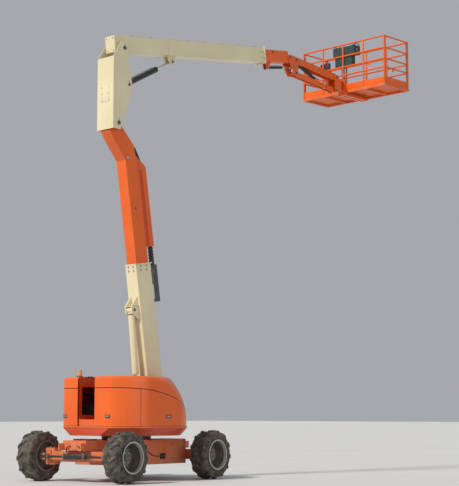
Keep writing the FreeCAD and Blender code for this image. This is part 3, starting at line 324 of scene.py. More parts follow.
WHEELS = ("front_left", "front_right", "rear_left", "rear_right")
NODE_LOOKS = {
    "amber": "beacon",
    "black_paint": "steer_cylinder tie_rod boom_cylinder_barrel level_cylinder_barrel jib_cylinder_barrel",
    "chrome": "tower_cylinder_rod boom_cylinder_rod level_cylinder_rod jib_cylinder_rod",
    "console": "control_console",
    "cream": "tower_base tower_cylinder_barrel upright main_boom",
    "deck": "platform_floor",
    "galvanised": "chain_guide",
    "iron": "slew_ring engine_block",
    "orange": "hood_left hood_right tower_fly main_fly level_bracket jib_upper_arm jib_lower_arm jib_end_bracket"
              " rotator rail_back rail_front rail_right gate",
    "orange_low": "chassis_frame drive_axle steer_axle knuckle_left knuckle_right counterweight",
    "plastic": "energy_chain",
    # painted shade: the turntable pan takes the darker red-orange
    "orange_painted_shade": "turntable_frame",
    "rim": " ".join("rim_" + place for place in WHEELS),
    "tank": "tank",
    "tyre": " ".join("tyre_" + place for place in WHEELS),
}
for look, nodes in NODE_LOOKS.items():
    for node in nodes.split():
        NODES[node].data.materials.clear()
        NODES[node].data.materials.append(MATS[look])
# The record's material slot for each look; a piece keeps the one of its first look, but nothing here reads it.
SLOTS = {"amber": "beacon_amber", "black_paint": "dark_paint", "console": "console_dark", "cream": "cream_paint",
         "guide_edge": "guide_steel", "orange": "orange_paint", "orange_low": "orange_paint",
         "plastic": "tank_plastic", "orange_painted_shade": "orange_paint", "tyre": "tyre"}


def put(name, data):
    """An object with this data, in the scene."""
    item = bpy.data.objects.new(name, data)
    bpy.context.scene.collection.objects.link(item)
    return item


def each(value):
    return value if isinstance(value, tuple) else (value,)


# Mesh building.
class Work:
    """Collects plain forms into one mesh, in a frame of the machine."""

    def __init__(self, name, body, base, look, slot=None):
        self.name, self.body, self.base = name, body, base
        self.looks, self.look = [look], 0
        self.slot = slot or SLOTS[look]
        self.bm = bmesh.new()

    def use(self, look):
        if look not in self.looks:
            self.looks.append(look)
        self.look = self.looks.index(look)
        return self

    def _mark(self, before, smooth=True):
        for face in self.bm.faces:
            if face not in before:
                face.material_index = self.look
                face.smooth = smooth

    def box(self, a, b, bevel=0.003):
        """A block between two opposite corners."""
        before = set(self.bm.faces)
        low, high = Vector(map(min, a, b)), Vector(map(max, a, b))
        m = Matrix.Translation((low + high) / 2) @ Matrix.Diagonal((*(high - low), 1))
        made = bmesh.ops.create_cube(self.bm, size=1, matrix=m)["verts"]
        bevel = min(bevel, 0.35 * min(high - low))
        if bevel > 0.0004:
            edges = {e for v in made for e in v.link_edges}
            bmesh.ops.bevel(self.bm, geom=list(edges), offset=bevel, segments=2, profile=0.6, affect="EDGES")
        self._mark(before, False)
        return self

    def rod(self, start, end, radius, end_radius=None, segments=24, bevel=0.002):
        before = set(self.bm.faces)
        start, end = Vector(start), Vector(end)
        run = end - start
        m = Matrix.Translation((start + end) / 2) @ run.to_track_quat("Z", "Y").to_matrix().to_4x4()
        made = bmesh.ops.create_cone(self.bm, cap_ends=True, segments=segments, radius1=radius,
                                     radius2=end_radius or radius, depth=run.length, matrix=m)["verts"]
        rims = [e for e in {e for v in made for e in v.link_edges}
                if any(len(f.verts) > 4 for f in e.link_faces)]
        if bevel > 0.0004 and segments > 6:
            bmesh.ops.bevel(self.bm, geom=rims, offset=min(bevel, radius * 0.3), segments=2, profile=0.6,
                            affect="EDGES")
        self._mark(before, False)
        return self

    def stub(self, at, axis, tall, radius, segments=24, bevel=0.002):
        """A rod that stands on a point."""
        return self.rod(at, Vector(at) + tall * Vector(axis), radius, segments=segments, bevel=bevel)

    def nut(self, at, axis, tall, radius):
        return self.stub(at, axis, tall, radius, 6, 0)

    def bolt(self, at, axis, flats, tall, washer=True):
        at, axis = Vector(at), Vector(axis).normalized()
        if washer:
            self.rod(at - axis * 0.002, at + axis * 0.003, flats * 0.95, segments=20, bevel=0.0008)
        return self.nut(at, axis, tall, flats * 0.577)

    def bolts(self, xs, ys, zs, axis, flats, tall, washer=True):
        """A bolt at each mix of the given x, y and z."""
        for x in each(xs):
            for y in each(ys):
                for z in each(zs):
                    self.bolt((x, y, z), axis, flats, tall, washer)
        return self

    def lathe(self, profile, axis="y", at=(0, 0, 0), segments=48):
        """Turns (radius, height) corners about an axis; the profile is closed by itself."""
        before = set(self.bm.faces)
        rings = []
        for k in range(segments):
            a = 2 * math.pi * k / segments
            c, s = math.cos(a), math.sin(a)
            ring = []
            for r, h in profile:
                p = {"x": (h, r * c, r * s), "y": (r * c, h, r * s), "z": (r * c, r * s, h)}[axis]
                ring.append(self.bm.verts.new(Vector(at) + Vector(p)))
            rings.append(ring)
        count = len(profile)
        for k in range(segments):
            a, b = rings[k], rings[(k + 1) % segments]
            for i in range(count):
                j = (i + 1) % count
                self.bm.faces.new((a[i], a[j], b[j], b[i]))
        self._mark(before)
        return self

    def path(self, points, radius, segments=12):
        """A round bar along points, with its ends capped."""
        before = set(self.bm.faces)
        points = [Vector(p) for p in points]
        rings = []
        up = None
        for k, p in enumerate(points):
            ahead = points[min(k + 1, len(points) - 1)] - points[max(k - 1, 0)]
            ahead.normalize()
            if up is None:
                up = ahead.orthogonal().normalized()
            up = (up - ahead * up.dot(ahead)).normalized()
            side = ahead.cross(up)
            rings.append([self.bm.verts.new(p + radius * (up * math.cos(2 * math.pi * i / segments)
                                                          + side * math.sin(2 * math.pi * i / segments)))
                          for i in range(segments)])
        for a, b in zip(rings, rings[1:]):
            for i in range(segments):
                j = (i + 1) % segments
                self.bm.faces.new((a[i], a[j], b[j], b[i]))
        self.bm.faces.new(list(reversed(rings[0])))
        self.bm.faces.new(rings[-1])
        self._mark(before)
        return self

    def done(self, replaces=None, angle=40):
        bmesh.ops.recalc_face_normals(self.bm, faces=self.bm.faces)
        self.bm.transform(self.base)
        mesh = bpy.data.meshes.new(self.name)
        self.bm.to_mesh(mesh)
        self.bm.free()
        for look in self.looks:
            mesh.materials.append(MATS[look])
        item = put(self.name, mesh)
        mesh.shade_smooth()
        mesh.set_sharp_from_angle(angle=math.radians(angle))
        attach(item, self.body)
        if replaces:
            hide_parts(*replaces)


PLANES = {"xy": ((1, 0, 0), (0, 1, 0)), "xz": ((1, 0, 0), (0, 0, 1)), "yz": ((0, 1, 0), (0, 0, 1))}


def arc(centre, radius, start, end, steps, plane="xz"):
    """Points on an arc, angles in degrees."""
    u, v = (radius * Vector(d) for d in PLANES[plane])
    turns = [math.radians(start + (end - start) * k / steps) for k in range(steps + 1)]
    return [Vector(centre) + u * math.cos(a) + v * math.sin(a) for a in turns]


def circle(centre, radius, count, plane="xz", start=0.0):
    """Evenly spread points on a circle."""
    return arc(centre, radius, start, start + 360, count, plane)[:-1]


def at_y(y, *spots):
    """Points of x and z, all at one y."""
    return [(x, y, z) for x, z in spots]


# Tyres and rims.
tyre_low, tyre_high = (Vector(v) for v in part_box("tyre_front_left"))
TYRE_R = (tyre_high.z - tyre_low.z) / 2
TYRE_W = 0.355
RIM_R = 0.2725
LUG_TALL = 0.024
LUGS = 24


def wheel_frame(centre, side):
    """The frame of a wheel, with y towards its outer face."""
    turn = Matrix.Rotation(0 if side > 0 else math.pi, 4, "Z")
    return Matrix.Translation(centre) @ CHASSIS.to_3x3().to_4x4() @ turn


def tyre_mesh(place, base):
    """A foam-filled traction tyre: a rounded carcass and chevron lugs that wrap its shoulders."""
    w = Work(f"tread_{place}", f"wheel_{place}", base, "tyre")
    half = TYRE_W / 2
    road = TYRE_R - LUG_TALL
    profile = [
        (RIM_R + 0.001, -half * 0.86), (RIM_R + 0.012, -half * 0.93), (RIM_R + 0.03, -half * 0.985),
        (RIM_R + 0.065, -half), (road - 0.07, -half * 0.985), (road - 0.03, -half * 0.93), (road - 0.008, -half * 0.84),
        (road, -half * 0.6), (road, half * 0.6), (road - 0.008, half * 0.84), (road - 0.03, half * 0.93),
        (road - 0.07, half * 0.985), (RIM_R + 0.065, half), (RIM_R + 0.03, half * 0.985),
        (RIM_R + 0.012, half * 0.93), (RIM_R + 0.001, half * 0.86)]
    w.lathe(profile, "y", segments=96)
    for ring_r in (RIM_R + 0.05, road - 0.085):
        for side in SIDES:
            y = side * half * 0.985
            w.lathe([(ring_r - 0.004, y), (ring_r, y + side * 0.0028), (ring_r + 0.004, y)], "y", segments=96)
    # Each lug runs from the middle over a shoulder: share of the half width, sweep back, width.
    stations = ((0.03, 0.000, 0.050), (0.30, 0.030, 0.056), (0.66, 0.075, 0.064), (0.88, 0.105, 0.070),
                (0.955, 0.120, 0.074))
    before = set(w.bm.faces)
    for k in range(LUGS):
        side = 1 if k % 2 else -1
        middle = 2 * math.pi * (k + 0.5) / LUGS
        rows = []
        for across, sweep, wide in stations:
            y = side * across * half
            top = TYRE_R if across < 0.7 else (TYRE_R - 0.009 if across < 0.9 else TYRE_R - 0.034)
            foot = road - 0.02 if across < 0.9 else road - 0.065
            a = middle + sweep / TYRE_R
            h_top, h_foot = wide / 2 / TYRE_R * 0.86, wide / 2 / TYRE_R * 1.12
            quad = []
            for r, d in ((foot, -h_foot), (top, -h_top), (top, h_top), (foot, h_foot)):
                quad.append(w.bm.verts.new((r * math.cos(a + d), y, r * math.sin(a + d))))
            rows.append(quad)
        for a, b in zip(rows, rows[1:]):
            for i in range(4):
                j = (i + 1) % 4
                w.bm.faces.new((a[i], a[j], b[j], b[i]))
        w.bm.faces.new(rows[0])
        w.bm.faces.new(list(reversed(rows[-1])))
    w._mark(before)
    lug_edges = [e for f in w.bm.faces if f not in before for e in f.edges
                 if len(e.link_faces) == 2 and e.calc_face_angle(0) > 0.7]
    bmesh.ops.bevel(w.bm, geom=list(set(lug_edges)), offset=0.0035, segments=1, affect="EDGES")
    w.done([f"tyre_{place}"], angle=32)


DISC_FACE, HUB_FACE = -0.042, 0.030
OUT = (0, 1, 0)
for place in WHEELS:
    side = 1 if place.endswith("left") else -1
    base = wheel_frame(pin(f"wheel_{place}_spin"), side)
    tyre_mesh(place, base)
    w = Work(f"wheel_nuts_{place}", f"wheel_{place}", base, "zinc", "rim_paint")
    # the light lip ring is a painted highlight on the rim's edge
    w.use("rim_lip").lathe([(0.2600, 0.105), (0.2590, 0.1700), (0.2640, 0.1880), (0.2890, 0.1880), (0.2890, 0.1870),
                            (0.2645, 0.1870), (0.2600, 0.1700)], segments=72)
    for at in circle((0, DISC_FACE, 0), 0.165, 9):
        # height of the foot and the top, radius, sides, bevel
        for foot, top, radius, sides, bevel in ((0, 0.006, 0.022, 20, 0.001), (0.006, 0.026, 0.0165, 6, 0),
                                                (0.026, 0.036, 0.008, 12, 0.001)):
            w.use("zinc").stub(at + foot * Vector(OUT), OUT, top - foot, radius, sides, bevel)
    # the near-black dish sheet is partly painted shade
    w.use("rim_dish").lathe([(r, DISC_FACE + h) for r, h in ((0.128, 0.0005), (0.256, 0.0005), (0.256, 0.004),
                                                             (0.128, 0.004))], segments=64)
    w.use("iron").lathe([(r, HUB_FACE + h) for r, h in ((0.0, 0.001), (0.060, 0.001), (0.058, 0.016), (0.050, 0.022),
                                                        (0.0, 0.024))], segments=40)
    for at in circle((0, HUB_FACE, 0), 0.095, 6):
        w.use("zinc").bolt(at, OUT, 0.016, 0.009)
    w.done()


# Hoods: a bowed skin with rounded corners and the seam of its lid.
HOOD_BACK, HOOD_FRONT, HOOD_SIDE = -1.010, 1.140, 1.115
HOOD_LOW, HOOD_TOP, SLOT_HALF = 1.018, 1.935, 0.245
PLAN_X, PLAN_R = -0.025, 1.175
BOW_X, BOW_Z = -0.600, 1.000
BOW = Vector((1.740, 1.439, 1.479))
EASING = 40
CORNER_TURN, CORNER_RISE = math.radians(121), 0.625
SEAM_TALL, SEAM_LONG, SEAM_LOW = 0.720, 1.850, 1.120


def round_hit(start, way, centre, axes):
    """Distance from inside to an ellipsoid or elliptic cylinder along a direction."""
    p = [(s - c) / a if a else 0 for s, c, a in zip(start, centre, axes)]
    d = [w / a if a else 0 for w, a in zip(way, axes)]
    a = sum(v * v for v in d)
    b = sum(u * v for u, v in zip(p, d))
    c = sum(u * u for u in p) - 1
    if a < 1e-9:
        return 99.0
    return (-b + math.sqrt(max(b * b - a * c, 0))) / a


def hood_reach(start, way):
    """Distance to the hood's skin, its faces melting into each other at the corners."""
    hits = []
    for limit, s, v in ((HOOD_FRONT, start.x, way.x), (HOOD_SIDE, start.y, way.y), (HOOD_TOP, start.z, way.z)):
        if v > 1e-6:
            hits.append((limit - s) / v)
    if way.x < -1e-6:
        hits.append((HOOD_BACK - start.x) / way.x)
    hits.append(round_hit(start, way, (PLAN_X, 0, 0), (PLAN_R, PLAN_R, 0)))
    bow = round_hit(start, way, (BOW_X, 0, BOW_Z), BOW)
    if start.x + bow * way.x < BOW_X:
        bow = round_hit(start, way, (0, 0, BOW_Z), (0, BOW.y, BOW.z))
    hits.append(bow)
    return sum(h ** -EASING for h in hits) ** (-1 / EASING)


def seam_height(x):
    ratio = min(max((x - HOOD_BACK) / SEAM_LONG, 0), 1)
    return max(BOW_Z + SEAM_TALL * math.sqrt(1 - ratio * ratio), SEAM_LOW)


def hood_skin(place, side):
    w = Work(f"hood_skin_{place}", f"hood_{place}", TABLE, "orange")
    seal = w.use("seal").look
    start = Vector((-0.10, SLOT_HALF, HOOD_LOW))
    columns = 120

    def spot(turn, rise, sink=0.0):
        way = Vector((math.cos(turn) * math.cos(rise), math.sin(turn) * math.cos(rise), math.sin(rise)))
        return start + way * (hood_reach(start, way) - sink)

    grid = []
    for i in range(columns + 1):
        turn = math.pi * i / columns
        low, high = 0.0, math.pi / 2
        for _ in range(24):
            mid = (low + high) / 2
            p = spot(turn, mid)
            low, high = (low, mid) if p.z > seam_height(p.x) else (mid, high)
        seam = low
        half = 0.005 / hood_reach(start, spot(turn, seam) - start)
        rises = [(seam - half) * k / 16 for k in range(17)]
        column = [spot(turn, r) for r in rises]
        column += [spot(turn, seam - half * 0.6, 0.006), spot(turn, seam + half * 0.6, 0.006)]
        top = math.pi / 2 - 0.004
        column += [spot(turn, seam + half + (top - seam - half) * k / 26) for k in range(27)]
        grid.append([w.bm.verts.new((p.x, side * p.y, p.z)) for p in column])
    rows = len(grid[0])
    for a, b in zip(grid, grid[1:]):
        for k in range(rows - 1):
            face = w.bm.faces.new((a[k], a[k + 1], b[k + 1], b[k]))
            face.material_index = seal if 16 <= k <= 18 else 0
            face.smooth = True
    bmesh.ops.recalc_face_normals(w.bm, faces=w.bm.faces)
    if sum(f.normal.z for f in w.bm.faces) < 0:
        bmesh.ops.reverse_faces(w.bm, faces=w.bm.faces)
    bmesh.ops.solidify(w.bm, geom=list(w.bm.faces), thickness=0.012)
    for x in (-0.76, -0.20, 0.36):
        w.use("black_paint").stub((x, side * SLOT_HALF, HOOD_TOP), (1, 0, 0), 0.12, 0.0078, 16)
    corner = []
    for k in range(25):
        p = spot(CORNER_TURN, 0.004 + k * CORNER_RISE / 24, 0.0025)
        corner.append((p.x, side * p.y, p.z))
    w.use("seal").path(corner, 0.0045, 8)
    # latches on the tail and on the side
    tail = Vector((HOOD_BACK, side * 0.60, 1.20))
    flank = spot(math.radians(80), 0.2)
    flank.y *= side
    for look, at, low, high, bevel in (
            ("seal", tail, (-0.001, -0.055, -0.028), (0.004, 0.055, 0.028), 0.002),
            ("zinc", tail, (-0.006, -0.045, -0.016), (0.002, 0.045, 0.016), 0.003),
            ("seal", flank, (-0.06, -0.005, -0.03), (0.06, 0.003, 0.03), 0.002),
            ("zinc", flank, (-0.045, -0.007, -0.016), (0.045, 0.007, 0.016), 0.003)):
        w.use(look).box(at + Vector(low), at + Vector(high), bevel)
    w.done([f"hood_{place}"], angle=28)


for place, side in (("left", 1), ("right", -1)):
    hood_skin(place, side)


# Turntable: rolled lip, tail sill, hydraulic block and hoses in the slot, pin keepers.
def plan_edge(inset, steps=240):
    """The turntable's plan as a closed run of (x, y) points."""
    points = []
    for k in range(steps):
        a = 2 * math.pi * k / steps
        c, s = math.cos(a), math.sin(a)
        reach = round_hit((0, 0, 0), (c, s, 0), (PLAN_X, 0, 0), (PLAN_R - inset, PLAN_R - inset, 0))
        if c > 1e-6:
            reach = min(reach, (HOOD_FRONT - inset) / c)
        if c < -1e-6:
            reach = min(reach, (HOOD_BACK + inset) / c)
        if abs(s) > 1e-6:
            reach = min(reach, (HOOD_SIDE - inset) / abs(s))
        points.append((reach * c, reach * s))
    return points


def pin_end(w, x, y, z, side, radius):
    """A pin's end held by a keeper plate and a bolt."""
    out = (0, side, 0)
    w.use("iron").stub((x, y, z), out, 0.010, radius, 32)
    w.use("zinc").box((x - radius * 0.35, y, z + radius * 0.55),
                      (x + radius * 0.35, y + side * 0.008, z + radius * 1.9), 0.001)
    w.bolt((x, y + side * 0.008, z + radius * 1.5), out, 0.016, 0.010)
    w.stub((x, y + side * 0.010, z), out, 0.009, 0.006, 12, 0.001)


def boss_pin(w, look, x, z, side, foot, face, radius, rim, sides=32):
    """A welded boss between two values of y, with its pin's end on it."""
    w.use(look).rod((x, side * foot, z), (x, side * face, z), radius + rim, segments=sides)
    pin_end(w, x, side * face, z, side, radius)


def bolt_ring(w, centre, plane, way, radius, count, flats, tall, start=0.0):
    """Bolts on a circle, all one way along its axis."""
    axis = {"yz": (way, 0, 0), "xz": (0, way, 0), "xy": (0, 0, way)}[plane]
    for at in circle(centre, radius, count, plane, start):
        w.bolt(at, axis, flats, tall)


def weld(w, points, radius=0.004):
    """A bead of weld: a round bar along straight legs, split into short steps."""
    fine = []
    for a, b in zip(points, points[1:]):
        a, b = Vector(a), Vector(b)
        steps = max(2, int((b - a).length / 0.02))
        fine += [a + (b - a) * k / steps for k in range(steps)]
    fine.append(Vector(points[-1]))
    return w.path(fine, radius, 8)


# The pan's fittings default to its darker red-orange, which is painted shade.
w = Work("turntable_fittings", "turntable", TABLE, "orange_painted_shade")
# The top bead's lighter orange is a painted highlight on the lip; the bead below it takes the pan's painted shade.
# height, inset from the plan's edge, look, radius, sides
for height, inset, look, thick, sides in ((1.003, 0.004, "lip", 0.008, 10), (0.984, 0.010, "orange_painted_shade", 0.008, 10),
                                          (1.0125, 0.024, "seal", 0.005, 8)):
    edge = [(x, y, height) for x, y in plan_edge(inset)]
    w.use(look).path(edge + edge[:1], thick, sides)
for side in SIDES:
    pin_end(w, 0.32, side * 0.1005, 1.10, side, 0.026)
    # this weld takes the pan's painted shade
    weld(w.use("orange_painted_shade"), at_y(side * 0.1035, (0.21, 0.884), (0.43, 0.884)))
    w.use("zinc").bolts((-0.92, -0.80), side * 0.62, 1.160, UP, 0.03, 0.018)
w.use("iron").box((0.52, -0.14, 0.881), (0.80, 0.14, 0.985), 0.004)
for k in range(5):
    x = 0.55 + k * 0.055
    w.use("zinc").stub((x, -0.14, 0.935), (0, -1, 0), 0.035, 0.016, 20)
    w.nut((x, 0.14, 0.935), (0, 1, 0), 0.025, 0.011)
    w.use("black_paint").stub((x, -0.175, 0.935), (0, -1, 0), 0.040, 0.013, 20)
    w.use("hose").path(arc((x, 0.165, 0.915), 0.02, 90, 0, 6, "yz")
                       + [(x - 0.02, 0.19, 0.893), (x - 0.20, 0.20, 0.892), (x - 0.34, 0.19, 0.892)], 0.009)
for at in arc((0, 0, 0.881), 0.36, 150, 210.5, 11, "xy"):
    w.use("zinc").bolt(at, UP, 0.022, 0.014)
w.done()

# Beacon: its base, and the ribs and cap of its lens.
w = Work("beacon_parts", "hood_left", TABLE @ Matrix.Translation((-0.65, 0.62, HOOD_TOP)), "amber")
w.use("black_paint").lathe([(0.0, 0.0008), (0.056, 0.0008), (0.056, 0.012), (0.0515, 0.022), (0.0505, 0.0295),
                            (0.0, 0.0295)], "z")
for foot, top in zip(circle((0, 0, 0.034), 0.0415, 24, "xy"), circle((0, 0, 0.128), 0.0405, 24, "xy")):
    w.use("amber").rod(foot, top, 0.0022, segments=8, bevel=0)
w.lathe([(0.0, 0.138), (0.030, 0.138), (0.040, 0.133), (0.0425, 0.126), (0.0425, 0.134), (0.036, 0.1395),
         (0.0, 0.1395)], "z")
bolt_ring(w.use("zinc"), (0, 0, 0.012), "xy", 1, 0.052, 3, 0.008, 0.004)
w.done()

# Tower: wear pads' bolts, welds, pins, lines down its back.
w = Work("tower_fittings", "tower", TOWER, "cream")
for z in (-0.19, 0.19):
    weld(w, [(2.659, -0.155, z), (2.659, 0.155, z)], 0.005)
for side in SIDES:
    w.use("zinc").bolts((2.545, 2.625), side * 0.155, (-0.075, 0.075), (0, side, 0), 0.022, 0.014)
    w.bolts((2.545, 2.625), (-0.07, 0.07), side * 0.19, (0, 0, side), 0.022, 0.014)
    for z in (-0.18886, 0.18886):
        weld(w.use("cream"), at_y(side * 0.1545, (0.12, z), (2.655, z)), 0.003)
    weld(w, at_y(side * 0.155, (2.659, -0.19), (2.659, 0.19)), 0.005)
    weld(w, at_y(side * 0.1035, (1.60, 0.1915), (2.05, 0.1915)))
    pin_end(w, 1.80, side * 0.1005, 0.30, side, 0.028)
for y in (-0.060, -0.030):
    w.use("iron").path(at_y(y, (0.35, -0.199), (1.80, -0.199)), 0.0075, 10)
    for x in (0.35, 1.80):
        w.use("zinc").nut((x - 0.012, y, -0.199), (1, 0, 0), 0.024, 0.0105)
for x in (0.50, 0.95, 1.40, 1.75):
    w.use("black_paint").box((x - 0.02, -0.078, -0.211), (x + 0.02, -0.012, -0.189))
    w.use("zinc").bolt((x, -0.045, -0.211), (0, 0, -1), 0.010, 0.006)
w.done()

w = Work("tower_fly_fittings", "tower_fly", TOWER, "orange")
for side in SIDES:
    out = (0, side, 0)
    weld(w.use("orange"), at_y(side * 0.1352, (4.50, -0.150), (4.50, 0.150)))
    w.stub((4.74, side * 0.135, 0.10), out, 0.015, 0.045, 32)
    w.use("black_paint").stub((3.75, side * 0.1338, 0.02), out, 0.0013, 0.020, 28, 0)
    w.use("zinc").stub((4.74, side * 0.150, 0.10), out, 0.012, 0.028, 32)
    bolt_ring(w, (4.74, side * 0.150, 0.10), "xz", side, 0.036, 4, 0.009, 0.006, 45)
    w.bolts((3.05, 3.75, 4.45), side * 0.055, -0.375, out, 0.014, 0.004, False)
for y in (-0.030, 0.0, 0.030):
    w.use("hose").path(at_y(y, (2.985, -0.375), (2.80, -0.377), (2.70, -0.378)), 0.011)
for y in (-0.045, -0.015, 0.015, 0.045):
    run = [Vector(p) for p in at_y(y, (4.63, -0.30), (4.78, -0.235), (4.93, -0.16), (5.02, -0.09), (5.10, -0.02),
                                   (5.16, 0.06))]
    fine = [a.lerp(b, k / 4) for a, b in zip(run, run[1:]) for k in range(4)]
    w.path(fine + run[-1:], 0.011)
w.path(at_y(0, (4.60, -0.315), (4.70, -0.290), (4.80, -0.250), (4.90, -0.205), (4.98, -0.150), (5.05, -0.090)),
       0.046, 18)
w.use("black_paint").box((4.88, -0.066, -0.205), (4.93, 0.066, -0.150), 0.004)
w.done()

w = Work("guide_edges", "tower", TOWER, "guide_edge")
w.path(at_y(-0.062, (1.905, -0.431), (2.625, -0.431), (2.625, -0.309), (1.905, -0.309), (1.905, -0.431)), 0.006, 10)
w.done()

# Energy chain: a pin and a step on each side of each link.
w = Work("chain_pins", "tower_fly", TOWER, "plastic")
for k in range(12):
    x = 2.953 - k * 0.062
    for side in SIDES:
        w.use("zinc").stub((x, side * 0.037, -0.375), (0, side, 0), 0.0025, 0.007, 14, 0.0006)
        w.use("plastic").box((x - 0.020, side * 0.037, -0.404), (x + 0.020, side * 0.0388, -0.388), 0.0008)
w.done()

# Upright: pins, folded seams, an access plate and the hoses in its lower opening.
w = Work("upright_fittings", "upright", UPRIGHT, "cream")
for side in SIDES:
    for x, z, radius in ((0.0, 0.0, 0.040), (0.13, 1.50, 0.040), (0.26, 0.79, 0.030)):
        boss_pin(w, "cream", x, z, side, 0.2348, 0.243, radius, 0.030, 36)
    weld(w.use("cream"), at_y(side * 0.2345, (-0.1395, -0.115), (-0.1395, 1.295)))
    weld(w, at_y(side * 0.2275, (0.052, -0.118), (0.110, 0.10), (0.270, 0.42), (0.343, 0.65), (0.334, 0.85),
                 (0.244, 1.25)), 0.0045)
w.use("cream").box((-0.1445, -0.12, 0.42), (-0.1395, 0.12, 0.74), 0.0015)
w.use("zinc").bolts(-0.1445, (-0.10, 0.10), (0.45, 0.58, 0.71), BACK, 0.013, 0.008)
for y in (-0.12, -0.06, 0.06, 0.12):
    w.use("hose").path(arc((0.02, y, 0.33), 0.13, -70, 60, 10) + arc((0.02, y, 0.62), 0.13, -60, 60, 10), 0.012)
w.done()

# Main boom and its fly.
w = Work("boom_fittings", "main_boom", BOOM, "cream")
for side in SIDES:
    w.use("zinc").bolts((4.065, 4.145), side * 0.135, (0.04, 0.16), (0, side, 0), 0.020, 0.012)
    w.bolts((4.065, 4.145), (-0.06, 0.06), 0.10 + side * 0.16, (0, 0, side), 0.020, 0.012)
    for z in (-0.0595, 0.2595):
        weld(w.use("cream"), at_y(side * 0.1345, (-0.14, z), (4.17, z)), 0.003)
    weld(w, at_y(side * 0.135, (4.1745, -0.06), (4.1745, 0.26)), 0.005)
    w.stub((0, side * 0.135, 0), (0, side, 0), 0.0845, 0.064, 36)
    boss_pin(w, "cream", 1.42, -0.182, side, 0.0828, 0.089, 0.026, 0.016)
for y in (-0.06, -0.09):
    w.use("iron").path(at_y(y, (0.30, 0.268), (3.95, 0.268)), 0.007, 10)
for k in range(8):
    x = 0.35 + k * 0.51
    w.use("black_paint").box((x - 0.018, -0.105, 0.259), (x + 0.018, -0.045, 0.279))
    w.use("zinc").bolt((x, -0.075, 0.279), UP, 0.009, 0.005)
w.bolts(-0.150, (-0.09, 0.09), (-0.02, 0.22), BACK, 0.016, 0.009)
w.done()

w = Work("boom_fly_fittings", "main_fly", BOOM, "orange")
for side in SIDES:
    for z in (-0.0295, 0.2295):
        weld(w.use("orange"), at_y(side * 0.0995, (4.25, z), (4.58, z)), 0.0028)
    weld(w, at_y(side * 0.0515, (4.29, -0.0315), (4.47, -0.0315)), 0.0035)
    pin_end(w, 4.35, side * 0.0495, -0.150, side, 0.018)
    w.bolt((4.40, side * 0.10, 0.10), (0, side, 0), 0.018, 0.011)
    w.use("black_paint").box((4.48, side * 0.099, 0.17), (4.54, side * 0.103, 0.20), 0.001)
w.done()

# Level bracket, jib arms and jib end.
w = Work("level_bracket_fittings", "level_bracket", NOSE, "orange")
for side in SIDES:
    for x, z, radius in ((0, 0, 0.034), (0.23, -0.02, 0.028), (0.23, -0.32, 0.028), (0.14, -0.19, 0.018)):
        boss_pin(w, "orange", x, z, side, 0.1162, 0.122, radius, 0.018)
w.done()

w = Work("jib_upper_fittings", "jib_upper_arm", JIB, "orange")
w.box((0.34, -0.0702, 0.058), (1.24, 0.0702, 0.070), 0.001)
for side, look in ((1, "orange"), (-1, "zinc")):
    weld(w.use(look), at_y(side * 0.069, (0.345, 0.071), (1.235, 0.071)), 0.003)
    w.use("zinc").bolts((0.20, 0.70, 1.20), side * 0.090, 0.0, (0, side, 0), 0.018, 0.010)
for y in (-0.030, 0.0, 0.030):
    w.use("hose").path(at_y(y, (0.10, 0.066), (0.22, 0.080), (0.34, 0.0835), (1.24, 0.0835), (1.32, 0.078)), 0.010)
for x in (0.42, 0.79, 1.16):
    w.use("black_paint").box((x - 0.018, -0.050, 0.070), (x + 0.018, 0.050, 0.097))
    w.use("zinc").bolts(x, (-0.015, 0.015), 0.097, UP, 0.009, 0.005)
w.done()

w = Work("jib_lower_fittings", "jib_lower_arm", Matrix.Translation((0, 0, -0.30)) @ JIB, "orange")
for side in SIDES:
    w.use("iron").stub((1.10, side * 0.0648, 0.0), (0, side, 0), 0.0032, 0.020, 32, 0.001)
    w.use("zinc").bolt((0.50, side * 0.065, 0.0), (0, side, 0), 0.014, 0.004, False)
w.done()

w = Work("jib_end_fittings", "jib_end_bracket", TIP, "orange")
for side in SIDES:
    for z in (0.0, -0.30):
        boss_pin(w, "orange", 0, z, side, 0.1162, 0.122, 0.028, 0.018)
    weld(w.use("orange"), at_y(side * 0.0708, (0.0945, -0.245), (0.0945, -0.055)), 0.005)
    w.use("zinc").nut((0.140, side * 0.070, -0.12), (0, side, 0), 0.016, 0.011)
for z in (-0.20, -0.15, -0.10):
    w.use("orange").lathe([(0.0845, z - 0.004), (0.0885, z - 0.002), (0.0885, z + 0.002), (0.0845, z + 0.004)], "z",
                          (0.185, 0, 0), 40)
w.done()

# Platform: the rotator's bolts, the rails, the console's controls, the foot switch and the gate's latch.
TOP = 0.1303
w = Work("rotator_fittings", "platform", TURNER, "orange")
for way in SIDES:
    bolt_ring(w.use("zinc"), (0, 0, way * TOP), "xy", way, 0.055, 8, 0.016, 0.010)
w.bolts(0.130, (-0.055, 0.055), (0.06, -0.02, -0.10), BACK, 0.016, 0.010)
w.use("black_paint").stub((0, 0, TOP), UP, 0.024, 0.031, 32)
w.done()

BACK_X, FRONT_X = 0.194, 1.070
RIGHT_Y, LEFT_Y = -1.201, 1.201
FLOOR = -0.09
RAIL_R = 0.019
LEVELS = tuple(FLOOR + v for v in (1.091, 1.11 * 0.74, 1.11 * 0.51, 1.11 * 0.33))
# Beads sit towards the platform's middle, so that none stands outside the top rail or the outer faces.
BEAD_IN = 0.0036
BEAD_Z = (LEVELS[0] - BEAD_IN, *LEVELS[1:])


def weld_ring(w, at, axis):
    w.use("orange").lathe([(RAIL_R - 0.001, -0.004), (RAIL_R + 0.0035, 0.0), (RAIL_R - 0.001, 0.004)], axis, at, 20)


